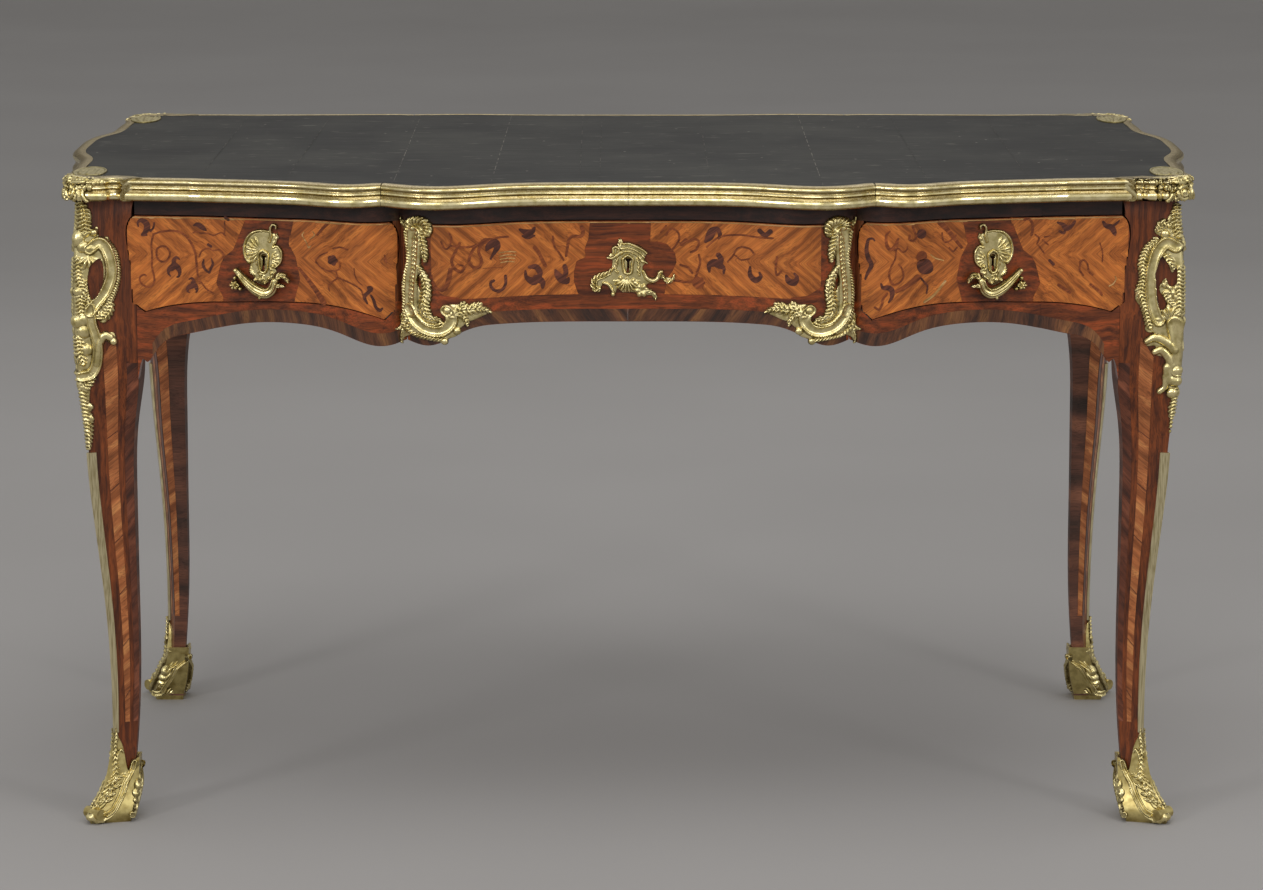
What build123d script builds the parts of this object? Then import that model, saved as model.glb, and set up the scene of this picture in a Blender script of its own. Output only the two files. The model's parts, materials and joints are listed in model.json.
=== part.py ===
"""Writing desk in the Louis XV manner: serpentine carcass, three frieze drawers, cabriole legs, cast mounts.

Millimetres, +Z up, the front faces -Y. Shapes are drawn about the middle of the four legs and moved once,
on saving, so that the origin lies on the floor under the middle of the desk's box.
"""

import os

from build123d import *

# ---------------------------------------------------------------- heights
DESK_HEIGHT = 780.0  # floor to leather
TOP_THICK = 26.0  # board and leather together
LEATHER_THICK = 1.6
RAIL_THICK = 18.0  # front top rail
FOOT_HEIGHT = 6.0  # bronze under the wooden foot
SABOT_TOP = 106.0
FRIEZE_TOP = DESK_HEIGHT - TOP_THICK
RAIL_BOTTOM = FRIEZE_TOP - RAIL_THICK
APRON_MID = FRIEZE_TOP - 137.0  # lower edge under the centre drawer
APRON_LOBE = FRIEZE_TOP - 160.0  # its lowest lobes, at the drawer joints
APRON_WING = FRIEZE_TOP - 143.0  # lower edge under the side drawers
EAR_TIP = FRIEZE_TOP - 213.0  # where the apron's ears run out on the legs
CORNER_MOUNT_TOP = FRIEZE_TOP - 4.0
CORNER_MOUNT_FOOT = FRIEZE_TOP - 302.0

# ---------------------------------------------------------------- legs
LEG_SPREAD = 647.0  # middle of the desk to the knee's outer arris, side to side
STANCE_STEP = 325.0  # how much nearer the arris is to the middle, front to back
POST_WIDTH = 72.0
CORNER_MOUNT_PROUD = 6.5
FILLET_PROUD = 2.4
POST_INNER = LEG_SPREAD - POST_WIDTH  # inner face of the posts
CORNER_Y = LEG_SPREAD - STANCE_STEP  # the arris's reach front to back

# ---------------------------------------------------------------- edge of the top, measured from the legs' middle
EDGE_FRONT = CORNER_Y + 63.0  # reach of the front edge at the middle
EDGE_BOW = 37.0  # how far the front shoulders swell past that
EDGE_WING = 66.0  # crest of the wing over the corner
EDGE_CORNER = CORNER_Y + 16.0  # reach at the front corners
EDGE_BACK = CORNER_Y + 24.0
EDGE_BACK_BOW = 9.0
EDGE_BACK_WING = 8.0
EDGE_BACK_CORNER = CORNER_Y + 23.0
EDGE_SIDE_CORNER = LEG_SPREAD + 8.0
EDGE_SIDE_BOW = 28.0  # how far the short sides swell past their corners
EDGE_END_X = LEG_SPREAD - 47.0
EDGE_END_Y = CORNER_Y - 32.0
RIM_WIDTH = 17.0
CLASP_PROUD = 3.0
CLASP_LIP = 9.0  # how far a clasp laps the leather
CLASP_ARM_X = EDGE_END_X - 12.0
CLASP_ARM_Y = EDGE_END_Y - 12.0
CLASP_BOSS = 24.0  # radius
TONGUE_THICK = 2.0
TONGUE_LENGTH = 156.0

# ---------------------------------------------------------------- frieze
OVERHANG = 22.0
JOINT_X = 256.0  # joint between the centre drawer and its neighbours
CUSP_OFFSET = 6.0  # the frieze's cusp lies just outside that joint
EDGE_CUSP_X = JOINT_X + CUSP_OFFSET + OVERHANG
FRIEZE_END = CORNER_Y - 4.0  # reach of the frieze where it meets the posts
SIDE_FRIEZE_BOW = 10.0
PANEL_THICK = 22.0  # drawer fronts and aprons
PARTITION_THICK = 15.0
RAIL_DEPTH = 60.0

# ---------------------------------------------------------------- drawers
DRAWER_GAP = 1.2
DRAWER_TOP_GAP = 1.5
RECESS_DEPTH = 30.0  # how deep the frame is cut for a side drawer's front
BOARD = 11.0  # drawer sides and backs
BOTTOM_THICK = 6.0
BOTTOM_RISE = 2.0  # the bottom's height over the lower edge of the sides
BOX_BOTTOM = APRON_WING + 34.0
BOX_TOP = RAIL_BOTTOM - 7.5
BOX_BACK = EDGE_BACK - 106.0
SLIDE_GAP = 0.3
KICKER_GAP = 1.5
RUNNER_WIDTH = 30.0
RUNNER_THICK = 14.0
GUIDE_HEIGHT = 20.0

# ---------------------------------------------------------------- locks
LOCK_WIDTH = 62.0
LOCK_HEIGHT = 46.0
LOCK_THICK = 13.0
LOCK_INLET = 7.0  # how deep the case is let into the front
BOLT_WIDTH = 24.0
BOLT_THICK = 5.0
BOLT_HEIGHT = 26.0
BOLT_TRAVEL = 8.0
BOLT_GAP = 0.3
MORTISE_GAP = 1.0
KEYHOLE_RADIUS = 2.6
KEYHOLE_SLOT = 2.4
KEYHOLE_DROP = 11.0  # from the round of the keyhole to the end of its slot
KEYHOLE_Z = FRIEZE_TOP - 64.0

# ---------------------------------------------------------------- mounts on the drawers
PLATE_THICK = 3.5
FRAME_MOUNT_THICK = 7.0
FRAME_MOUNT_LIFT = 0.6  # how far its lap clears the frame beside the drawer
PULL_REACH = 17.0
PULL_THICK = 9.0

# Values that follow from the sizes above.
DRAWER_TOP = RAIL_BOTTOM - DRAWER_TOP_GAP
PARTITION_OUTER = JOINT_X + PARTITION_THICK
SIDE_LOCK_X = (PARTITION_OUTER + POST_INNER) / 2
SIDE_FRIEZE_END_X = FRIEZE_END + STANCE_STEP
SIDE_FRIEZE_END_Y = POST_INNER - STANCE_STEP
RUNNER_TOP = BOX_BOTTOM - SLIDE_GAP
Y_SHIFT = (EDGE_FRONT + EDGE_BOW - EDGE_BACK - EDGE_BACK_BOW) / 2
FAR = 900.0  # longer than anything, for cutting solids

# Shares of the serpentine: (share of the way to the cusp, share of the bow), then the wing past the cusp.
BOW_SHAPE = ((0.28, 0.02), (0.53, 0.38), (0.79, 1.0), (0.92, 0.62), (1.0, 0.16))
WING_SHAPE = ((0.11, 1.0), (0.29, 0.65), (0.43, 0.45), (0.7, 0.18), (1.0, 0.0))

# Short edges of the top: (share of the way from the middle to a corner, share of the swell).
SIDE_SHAPE = (
    (-1.0, 0.0), (-0.69, 0.18), (-0.45, 0.34), (-0.33, 0.72), (-0.2, 0.96),
    (0.0, 1.0),
    (0.2, 0.96), (0.33, 0.72), (0.45, 0.34), (0.69, 0.18), (1.0, 0.0),
)

# Rim moulding, bottom to top: (share of the top's thickness, inset from the outermost line).
RIM_PROFILE = (
    (0, 1.6), (0.115, 0), (0.25, 1.0), (0.346, 4.2), (0.538, 4.6), (0.654, 1.4), (0.788, 0.4), (0.942, 4.5),
    (1.031, 12.5),
)

# Leg, top to foot: (height, arris in from the spread, width of the faces, how far their inner edge falls back).
SHANK = EAR_TIP - SABOT_TOP
LEG_STATIONS = (
    (FRIEZE_TOP, 7, POST_WIDTH - 7, -3),
    (FRIEZE_TOP - 54, 3, POST_WIDTH - 3, 1),
    (FRIEZE_TOP - 114, 0, POST_WIDTH, 4),
    (FRIEZE_TOP - 174, 1, POST_WIDTH - 1, 4),
    (EAR_TIP, 3, POST_WIDTH - 3, 8),
    (SABOT_TOP + SHANK * 0.871, 8.5, POST_WIDTH * 0.78, 15),
    (SABOT_TOP + SHANK * 0.664, 14.5, POST_WIDTH * 0.646, 15),
    (SABOT_TOP + SHANK * 0.407, 25, POST_WIDTH * 0.5, 12),
    (SABOT_TOP + SHANK * 0.124, 31, POST_WIDTH * 0.403, 10),
    (SABOT_TOP, 31, POST_WIDTH * 0.361, 10),
    (SABOT_TOP * 0.566, 27, POST_WIDTH * 0.361, 10),
    (FOOT_HEIGHT, 20, POST_WIDTH * 0.417, 10),
)
SABOT_STATIONS = (
    (SABOT_TOP, 27.5, POST_WIDTH * 0.458, 9),
    (SABOT_TOP * 0.755, 25.5, POST_WIDTH * 0.472, 9),
    (SABOT_TOP * 0.472, 19, POST_WIDTH * 0.542, 9),
    (SABOT_TOP * 0.236, 8, POST_WIDTH * 0.639, 10),
    (FOOT_HEIGHT + 2, 1, POST_WIDTH * 0.681, 11),
    (0, 3, POST_WIDTH * 0.639, 11),
)

# Corner mount: (height, share of the leg's face that it covers), before its outline is cut.
MOUNT_SHARES = (
    (FRIEZE_TOP, 0.74), (FRIEZE_TOP - 64, 0.8), (FRIEZE_TOP - 124, 0.76), (FRIEZE_TOP - 179, 0.76),
    (FRIEZE_TOP - 234, 0.6), (CORNER_MOUNT_FOOT, 0.3),
)

# Outlines drawn on a leg's long face: (way in from the spread, height under the mount's top or over the floor).
MOUNT_EDGE = (
    (6, 0), (17, 16), (22, 34), (30, 50), (42, 58), (51, 72), (54, 92), (48, 112), (36, 128), (40, 144),
    (50, 158), (48, 172), (38, 182), (30, 192), (26, 206), (22, 226), (21, 250), (20, 274), (17, 296),
)
MOUNT_EYE = ((27, 66), (38, 74), (40, 92), (35, 106), (25, 114), (18, 100), (18, 80))
SHOE_EDGE = ((29, 1.0), (36, 0.92), (41, 0.78), (44, 0.62), (48, 0.53), (53, 0.6), (57, 0.7), (63, 0.69), (75, 0.6))


def save(name, *shapes):
    """Write one node, moved from the legs' middle to the middle of the desk's box."""
    solids = [solid.moved(Location((0, Y_SHIFT, 0))) for shape in shapes for solid in shape.solids()]
    whole = solids[0] if len(solids) == 1 else Compound(solids)
    export_step(whole, f"parts/{name}.step")


def block(x0, x1, y0, y1, z0, z1):
    """A box between two corners."""
    size = (x1 - x0, y1 - y0, z1 - z0)
    return Pos((x0 + x1) / 2, (y0 + y1) / 2, (z0 + z1) / 2) * Box(*size)


def mirrored(shape, across=Plane.YZ):
    return shape.mirror(across)


# ---------------------------------------------------------------- plan curves
def serpentine(middle, bow, wing, corner, cusp_x, end_x):
    """Points of half a serpentine edge, as (x, reach): from the middle to the cusp, and on to the corner."""
    inner = [(0.0, middle)] + [(cusp_x * way, middle + bow * share) for way, share in BOW_SHAPE]
    outer = [inner[-1]] + [(cusp_x + (end_x - cusp_x) * way, corner + wing * share) for way, share in WING_SHAPE]
    return inner, outer


def serpentine_edges(inner, outer, side):
    """The right half of a serpentine as two splines; side is -1 for the front and 1 for the back."""
    first = Spline([(x, side * reach) for x, reach in inner], tangents=[(1, 0), (0.8, -0.6 * side)])
    second = Spline([(x, side * reach) for x, reach in outer], tangents=[(0.85, 0.5 * side), (1, -0.12 * side)])
    return first, second


def top_outline(inset, z):
    """Closed outline of the top, drawn in by the inset."""
    front = serpentine(EDGE_FRONT - inset, EDGE_BOW, EDGE_WING, EDGE_CORNER - inset, EDGE_CUSP_X, EDGE_END_X - inset / 2)
    back = serpentine(
        EDGE_BACK - inset, EDGE_BACK_BOW, EDGE_BACK_WING, EDGE_BACK_CORNER - inset, EDGE_CUSP_X, EDGE_END_X - inset / 2
    )
    side_x, side_y = EDGE_SIDE_CORNER - inset, EDGE_END_Y - inset / 2
    side = [(side_x + EDGE_SIDE_BOW * share, side_y * way) for way, share in SIDE_SHAPE]
    half = [*serpentine_edges(*front, -1)]
    half.append(corner_arc(front[1][-1], (side_x, side_y), -1))
    half.append(Spline(side, tangents=[(0.1, 1), (-0.1, 1)]))
    half.append(corner_arc(back[1][-1], (side_x, side_y), 1))
    half += serpentine_edges(*back, 1)
    edges = half + [edge.mirror(Plane.YZ) for edge in half]
    return Pos(0, 0, z) * Wire.combine(edges)[0]


def corner_arc(front_end, side_end, side):
    """Rounded corner between a long edge and a short one."""
    (x0, reach), (x1, y1) = front_end, side_end
    middle = (x1 - (x1 - x0) * 0.2, side * (reach - (reach - y1) * 0.17))
    return ThreePointArc((x0, side * reach), middle, (x1, side * y1))


FRONT_FRIEZE = serpentine(
    EDGE_FRONT - OVERHANG, EDGE_BOW, EDGE_WING, FRIEZE_END, JOINT_X + CUSP_OFFSET, POST_INNER
)
BACK_FRIEZE = serpentine(
    EDGE_BACK - OVERHANG, EDGE_BACK_BOW, EDGE_BACK_WING, FRIEZE_END, JOINT_X + CUSP_OFFSET, POST_INNER
)


def frieze_body(points, side, depth, z0=EAR_TIP - 60, z1=FRIEZE_TOP):
    """Everything behind the frieze's face once it is moved back by the depth."""
    half = list(serpentine_edges(*points, side))
    end = half[1] @ 1
    half.append(Line(end, end + Vector(15, side * 0.8)))
    tip = half[2] @ 1
    deep = -side * FAR / 2
    half.append(Line(tip, (tip.X, deep)))
    half.append(Line((tip.X, deep), (0, deep)))
    edges = half + [edge.mirror(Plane.YZ) for edge in half]
    face = make_face(Wire.combine(edges)[0].edges())
    return Pos(0, -side * depth, z0) * extrude(face, z1 - z0, dir=(0, 0, 1))


def front_body(depth):
    return frieze_body(FRONT_FRIEZE, -1, depth)


def back_body(depth):
    return frieze_body(BACK_FRIEZE, 1, depth)


def front_y(x):
    """Where the front frieze's face lies at a distance x from the middle."""
    x = abs(x)
    edge = serpentine_edges(*FRONT_FRIEZE, -1)[0 if x < JOINT_X + CUSP_OFFSET else 1]
    low, high = 0.0, 1.0
    for _ in range(40):
        middle = (low + high) / 2
        low, high = (middle, high) if (edge @ middle).X < x else (low, middle)
    return (edge @ low).Y


# ---------------------------------------------------------------- elevations, drawn as (x, z)
def elevation(*edges):
    """A flat face in the XZ plane from edges drawn there, made into a long cutter along Y."""
    return extrude(make_face(list(edges)), FAR, dir=(0, 1, 0), both=True)


def up(points):
    return [(x, 0, z) for x, z in points]


def apron_edge():
    """Lower edge of the frieze, from the middle out to the post, as three curves."""
    lobe_x = JOINT_X - 28
    middle = Line(*up([(0, APRON_MID), (JOINT_X - 98, APRON_MID)]))
    ogee = Spline(
        up([(JOINT_X - 98, APRON_MID), (lobe_x - 34, APRON_MID - 8), (lobe_x, APRON_LOBE), (JOINT_X, APRON_LOBE + 4)]),
        tangents=[(1, 0, 0), (1, 0, 0.3)],
    )
    wing = Spline(
        up([
            (JOINT_X, APRON_LOBE + 4), (JOINT_X + 24, APRON_LOBE - 3), (JOINT_X + 76, APRON_WING - 7),
            (JOINT_X + 122, APRON_WING + 1), (JOINT_X + 195, APRON_WING - 1), (POST_INNER - 61, APRON_WING - 14.5),
            (POST_INNER - 25, EAR_TIP + 38), (POST_INNER - 11, EAR_TIP + 21), (POST_INNER, EAR_TIP),
        ]),
        tangents=[(1, 0, -0.6), (0.15, 0, -1)],
    )
    return middle, ogee, wing


def cartouche(grow):
    """Outline of the right side drawer, grown by a gap on every side."""
    inner, outer = PARTITION_OUTER - 6, POST_INNER + 9
    low, high = APRON_WING + 11, DRAWER_TOP
    top_in, top_out = (inner + 10 - grow, high + grow), (outer - 9 + grow, high + grow)
    foot_in, foot_out = (inner + 17 - grow, low - grow), (outer - 20 + grow, low - grow)
    cusp_in, cusp_out = (inner + 5 - grow, low + 11 - grow / 2), (outer - 5 + grow, low + 11 - grow / 2)
    waist_in, waist_out = (inner + 6 - grow, low + 38), (outer - 6 + grow, low + 35)
    cheek_in, cheek_out = (inner - grow, high - 26), (outer + grow, high - 34)
    lift = low - grow
    bottom = [foot_in, (inner + 56, lift + 12), (inner + 96, lift + 15.5), (outer - 112, lift + 13.5),
              (outer - 68, lift + 10.5), foot_out]
    return elevation(
        Line(*up([top_in, top_out])),
        Spline(up([top_out, cheek_out, waist_out, cusp_out]), tangents=[(1, 0, -0.6), (-0.1, 0, -1)]),
        Line(*up([cusp_out, foot_out])),
        Spline(up(bottom)),
        Line(*up([foot_in, cusp_in])),
        Spline(up([cusp_in, waist_in, cheek_in, top_in]), tangents=[(0.1, 0, 1), (1, 0, 0.6)]),
    )


def drawer_recess():
    """Room that the right side drawer's front takes in its frame."""
    ahead = block(0, FAR, -FAR, 0, 0, FAR) - front_body(RECESS_DEPTH)
    return ahead & cartouche(DRAWER_GAP)


# ---------------------------------------------------------------- top
def make_top():
    """Board, leather and the moulded rim, cut into sections between the clasps."""
    inner = make_face(top_outline(RIM_WIDTH, FRIEZE_TOP).edges())
    board_thick = TOP_THICK - LEATHER_THICK
    board = extrude(inner, board_thick, dir=(0, 0, 1))
    leather = Pos(0, 0, board_thick) * extrude(inner, LEATHER_THICK, dir=(0, 0, 1))
    save("top_panel", board)
    save("leather_top", leather)
    wires = [top_outline(inset, FRIEZE_TOP + TOP_THICK * share) for share, inset in RIM_PROFILE]
    moulded = Solid.make_loft(wires, ruled=True)
    core = extrude(inner, TOP_THICK + 10, dir=(0, 0, 1))
    ring = moulded - core
    low, high = FRIEZE_TOP - 5, DESK_HEIGHT + 10
    for name, side in (("rim_front", -1), ("rim_back", 1)):
        y0, y1 = sorted((side * CLASP_ARM_Y, side * FAR))
        stops = (-CLASP_ARM_X, -EDGE_CUSP_X, 0, EDGE_CUSP_X, CLASP_ARM_X)
        save(name, *[ring & block(x0, x1, y0, y1, low, high) for x0, x1 in zip(stops, stops[1:])])
    for name, side in (("rim_left", -1), ("rim_right", 1)):
        x0, x1 = sorted((side * CLASP_ARM_X, side * FAR))
        save(name, ring & block(x0, x1, -CLASP_ARM_Y, CLASP_ARM_Y, low, high))
    return ring


def clasp(side, ring):
    """Corner clasp over the rim at the right; side is -1 for the front and 1 for the back."""
    low, high = FRIEZE_TOP, DESK_HEIGHT + CLASP_PROUD
    shell = extrude(make_face(top_outline(-CLASP_PROUD, low).edges()), high - low, dir=(0, 0, 1))
    hollow = extrude(make_face(top_outline(RIM_WIDTH, low).edges()), TOP_THICK, dir=(0, 0, 1))
    lip_edge = make_face(top_outline(RIM_WIDTH + CLASP_LIP, DESK_HEIGHT).edges())
    lip = extrude(lip_edge, CLASP_PROUD, dir=(0, 0, 1))
    y0, y1 = sorted((side * CLASP_ARM_Y, side * FAR))
    room = block(CLASP_ARM_X, FAR, y0, y1, low, high)
    corner = (shell - hollow - lip) & room
    boss_x, boss_y = EDGE_SIDE_CORNER - CLASP_BOSS + 2, side * (EDGE_CORNER - CLASP_BOSS + 2)
    boss = Pos(boss_x, boss_y, (low + high) / 2) * Sphere(CLASP_BOSS)
    return (corner + (boss & room) - hollow) + (tongue(side) - corner - ring)


def tongue(side):
    """Cast leaf that runs from a clasp along the leather's edge, towards the middle of the short side."""
    edge = EDGE_SIDE_CORNER
    root_y, tip_y = side * CLASP_ARM_Y, side * (CLASP_ARM_Y - TONGUE_LENGTH)
    belly = [
        (edge - 27, root_y + side * 20), (edge - 27, root_y - side * TONGUE_LENGTH * 0.31),
        (edge - 24, root_y - side * TONGUE_LENGTH * 0.76), (edge - 17, tip_y),
    ]
    face = make_face([
        Line((edge - 10, root_y), belly[0]), Spline(belly), Line(belly[-1], (edge - 7, tip_y)),
        Line((edge - 7, tip_y), (edge - 10, root_y)),
    ])
    return Pos(0, 0, DESK_HEIGHT) * extrude(face, TONGUE_THICK, dir=(0, 0, 1))


# ---------------------------------------------------------------- legs and their mounts
def kite(z, drawn_in, width, fall):
    """Section of the front right leg: outer arris, front edge, inner arris and side edge."""
    arris = LEG_SPREAD - drawn_in
    reach = arris - STANCE_STEP
    corners = [
        (arris, -reach),
        (arris - width, -(reach - fall)),
        (arris - width, -(reach - width)),
        (arris - fall, -(reach - width)),
    ]
    return Pos(0, 0, z) * make_face(Polyline(*corners, close=True))


def loft_kites(stations):
    return loft([kite(*station) for station in stations])


def leg_station(z):
    """Arris, width and fall of the leg at a height between its stations."""
    for above, below in zip(LEG_STATIONS, LEG_STATIONS[1:]):
        if below[0] <= z <= above[0]:
            way = (z - below[0]) / (above[0] - below[0])
            return [b + (a - b) * way for a, b in zip(above[1:], below[1:])]
    return list(LEG_STATIONS[-1][1:])


def arris_cover(shares, proud):
    """A V-shaped cover along the leg's outer arris: it spans a share of both faces and stands proud of them."""
    stations = []
    for z, share in shares:
        drawn_in, width, fall = leg_station(z)
        stations.append((z, drawn_in - proud, width * share + proud, fall * share))
    return loft_kites(stations)


def cut_both_ways(cover, cutter):
    """Keep what of a cover lies in a cutter drawn in elevation, on the long face and, mirrored, on the end face."""
    diagonal = Plane(origin=(STANCE_STEP, 0, 0), x_dir=(0, 0, 1), z_dir=(1, 1, 0))
    long_side = diagonal.location * extrude(Rectangle(2 * FAR, 2 * FAR), FAR, dir=(0, 0, -1))
    half = cover & long_side & cutter
    return half + mirrored(half, diagonal)


def corner_mount(leg):
    """Openwork scroll over the knee: a leaf, a C-scroll round an eye, a hook and a long drop."""
    spread, top = LEG_SPREAD, CORNER_MOUNT_TOP
    edge = [(spread - way, top - drop) for way, drop in MOUNT_EDGE]
    outside = spread + CORNER_MOUNT_PROUD * 2
    corners = [edge[-1], (edge[-1][0], CORNER_MOUNT_FOOT), (outside, CORNER_MOUNT_FOOT), (outside, top), edge[0]]
    outline = elevation(Spline(up(edge)), *[Line(*up(pair)) for pair in zip(corners, corners[1:])])
    eye = [(spread - way, top - drop) for way, drop in MOUNT_EYE]
    outline = outline - elevation(Spline(up(eye + eye[:1])))
    return cut_both_ways(arris_cover(MOUNT_SHARES, CORNER_MOUNT_PROUD) - leg, outline)


def shoe(leg):
    """Sabot: a leaf up the arris, a dip beside it and a band round the inner faces, over a curled toe."""
    toe = LEG_SPREAD - 7
    curl = Pos(toe, -(toe - STANCE_STEP), 12) * Rot(0, 0, 45) * Rot(0, 90, 0) * Cylinder(7, 26)
    whole = (loft_kites(SABOT_STATIONS) + curl & block(0, FAR, -FAR, 0, 0, FAR)) - leg
    edge = [(LEG_SPREAD - way, SABOT_TOP * share) for way, share in SHOE_EDGE]
    outside = LEG_SPREAD + 20
    corners = [edge[-1], (edge[-1][0], -1), (outside, -1), (outside, edge[0][1]), edge[0]]
    outline = elevation(Spline(up(edge)), *[Line(*up(pair)) for pair in zip(corners, corners[1:])])
    return cut_both_ways(whole, outline)


def make_legs(ring):
    leg = loft_kites(LEG_STATIONS)
    shank = [station[0] for station in LEG_STATIONS if SABOT_TOP <= station[0] < CORNER_MOUNT_FOOT]
    fillet = arris_cover([(z, 0.17) for z in [CORNER_MOUNT_FOOT] + shank], FILLET_PROUD) - leg
    front_leg = leg - drawer_recess()
    sabot, mount = shoe(leg), corner_mount(leg)
    for right in (True, False):
        for front in (True, False):
            tag = ("front" if front else "back") + ("_right" if right else "_left")
            for name, shape in (("leg", front_leg if front else leg), ("sabot", sabot),
                                ("corner_mount", mount), ("leg_fillet", fillet)):
                placed = shape if front else mirrored(shape, Plane.XZ)
                placed = placed if right else mirrored(placed)
                save(f"{name}_{tag}", placed)
            corner = clasp(-1 if front else 1, ring)
            save(f"corner_clasp_{tag}", corner if right else mirrored(corner))
    return leg


# ---------------------------------------------------------------- carcass
def make_carcass(leg):
    middle, ogee, wing = apron_edge()
    shelf = APRON_WING + 31
    joint, post = wing @ 0, wing @ 1
    below = elevation(
        wing, Line(post, (POST_INNER, 0, shelf)), Line((POST_INNER, 0, shelf), (JOINT_X, 0, shelf)),
        Line((JOINT_X, 0, shelf), joint),
    )
    recess = drawer_recess()
    strip = front_body(0) - front_body(PANEL_THICK)
    apron = (strip & below) - recess - leg
    apron = max(apron.solids(), key=lambda solid: solid.volume)
    save("front_apron_right", apron)
    save("front_apron_left", mirrored(apron))

    rail = (front_body(0) - front_body(RAIL_DEPTH)) & block(-POST_INNER, POST_INNER, -FAR, FAR, RAIL_BOTTOM, FRIEZE_TOP)
    for x in (-SIDE_LOCK_X, 0, SIDE_LOCK_X):
        rail -= lock_mortise(x)
    save("front_top_rail", rail)

    inside = front_body(PANEL_THICK) & back_body(PANEL_THICK)
    board = block(JOINT_X, PARTITION_OUTER, -FAR, FAR, APRON_WING + 11, FRIEZE_TOP) & inside
    nose = block(JOINT_X, PARTITION_OUTER, -FAR, 0, shelf, RAIL_BOTTOM) & (front_body(0) - inside)
    partition = (board + nose) - rail - recess
    save("partition_right", partition)
    save("partition_left", mirrored(partition))

    halves = [middle, ogee, wing]
    half_back = halves + [
        Line(post, (POST_INNER, 0, FRIEZE_TOP)), Line((POST_INNER, 0, FRIEZE_TOP), (0, 0, FRIEZE_TOP)),
        Line((0, 0, FRIEZE_TOP), (0, 0, APRON_MID)),
    ]
    outline = elevation(*half_back)
    back = ((back_body(0) - back_body(PANEL_THICK)) & outline) - mirrored(leg, Plane.XZ)
    groove = (back_body(-1) - back_body(1.5)) & (cartouche(DRAWER_GAP) - cartouche(0))
    back = back - groove
    save("back_apron", back + mirrored(back))

    ear_y = SIDE_FRIEZE_END_Y
    side_low = Spline(
        [(0, 0, APRON_WING), (0, 60, APRON_WING - 2), (0, 105, APRON_LOBE + 2), (0, 150, APRON_WING - 12),
         (0, ear_y - 61, APRON_WING - 14.5), (0, ear_y - 25, EAR_TIP + 38), (0, ear_y, EAR_TIP)],
        tangents=[(0, 1, 0), (0, 0.15, -1)],
    )
    corners = [(0, ear_y, EAR_TIP), (0, ear_y, FRIEZE_TOP), (0, 0, FRIEZE_TOP), (0, 0, APRON_WING)]
    quarter = make_face([side_low] + [Line(a, b) for a, b in zip(corners, corners[1:])])
    cutter = extrude(quarter, FAR, dir=(1, 0, 0))
    bow = ThreePointArc(
        (SIDE_FRIEZE_END_X, -ear_y), (SIDE_FRIEZE_END_X + SIDE_FRIEZE_BOW, 0), (SIDE_FRIEZE_END_X, ear_y)
    )
    inner_bow = Pos(-PANEL_THICK, 0, 0) * bow
    plan = make_face([bow, Line(bow @ 1, inner_bow @ 1), inner_bow, Line(inner_bow @ 0, bow @ 0)])
    side = (Pos(0, 0, EAR_TIP - 20) * extrude(plan, 300, dir=(0, 0, 1))) & (cutter + mirrored(cutter, Plane.XZ))
    side = side - leg - mirrored(leg, Plane.XZ)
    save("side_apron_right", side)
    save("side_apron_left", mirrored(side))

    runners, kickers = [], []
    for wall, way in ((JOINT_X, -1), (PARTITION_OUTER, 1), (POST_INNER, -1)):
        runner, kicker = slide_parts(wall, way)
        runner = runner - leg - mirrored(leg, Plane.XZ)
        runners += [runner, mirrored(runner)]
        kickers += [kicker, mirrored(kicker)]
    save("drawer_runners", *runners)
    save("drawer_kickers", *kickers)


def slide_parts(wall, way):
    """Runner with its guide, and the kicker above, along one wall; way points from the wall to the drawer."""
    inside = front_body(PANEL_THICK) & back_body(PANEL_THICK)
    x0, x1 = sorted((wall, wall + way * RUNNER_WIDTH))
    g0, g1 = sorted((wall, wall + way * (RUNNER_WIDTH / 2 - SLIDE_GAP)))
    runner = block(x0, x1, -FAR, FAR, RUNNER_TOP - RUNNER_THICK, RUNNER_TOP)
    guide = block(g0, g1, -FAR, FAR, RUNNER_TOP - RUNNER_THICK, RUNNER_TOP + GUIDE_HEIGHT)
    kicker = block(x0, x1, -FAR, FAR, BOX_TOP + KICKER_GAP, FRIEZE_TOP)
    return (runner + guide) & inside, kicker & front_body(RAIL_DEPTH) & back_body(PANEL_THICK)


# ---------------------------------------------------------------- drawers
def lock_place(x):
    """Front face of a lock case let into the back of a drawer front."""
    return front_y(x) + PANEL_THICK - LOCK_INLET


def lock_mortise(x):
    """Room for the shot bolt in the top rail."""
    y = lock_place(x) + LOCK_THICK / 2
    half_x, half_y = BOLT_WIDTH / 2 + MORTISE_GAP, BOLT_THICK / 2 + MORTISE_GAP
    top = DRAWER_TOP + BOLT_TRAVEL + 2 * MORTISE_GAP
    return block(x - half_x, x + half_x, y - half_y, y + half_y, RAIL_BOTTOM - 5, top)


def lock(x):
    """Case with a slot that the bolt slides in, and the bolt at rest inside it."""
    y = lock_place(x)
    case = block(x - LOCK_WIDTH / 2, x + LOCK_WIDTH / 2, y, y + LOCK_THICK, DRAWER_TOP - LOCK_HEIGHT, DRAWER_TOP)
    mid = y + LOCK_THICK / 2
    half_x, half_y = BOLT_WIDTH / 2, BOLT_THICK / 2
    base = DRAWER_TOP - BOLT_HEIGHT
    slot = block(
        x - half_x - BOLT_GAP, x + half_x + BOLT_GAP, mid - half_y - BOLT_GAP, mid + half_y + BOLT_GAP,
        base - BOLT_GAP, DRAWER_TOP + 5,
    )
    bolt = block(x - half_x, x + half_x, mid - half_y, mid + half_y, base, DRAWER_TOP - BOLT_GAP)
    return case, case - slot, bolt


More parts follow.
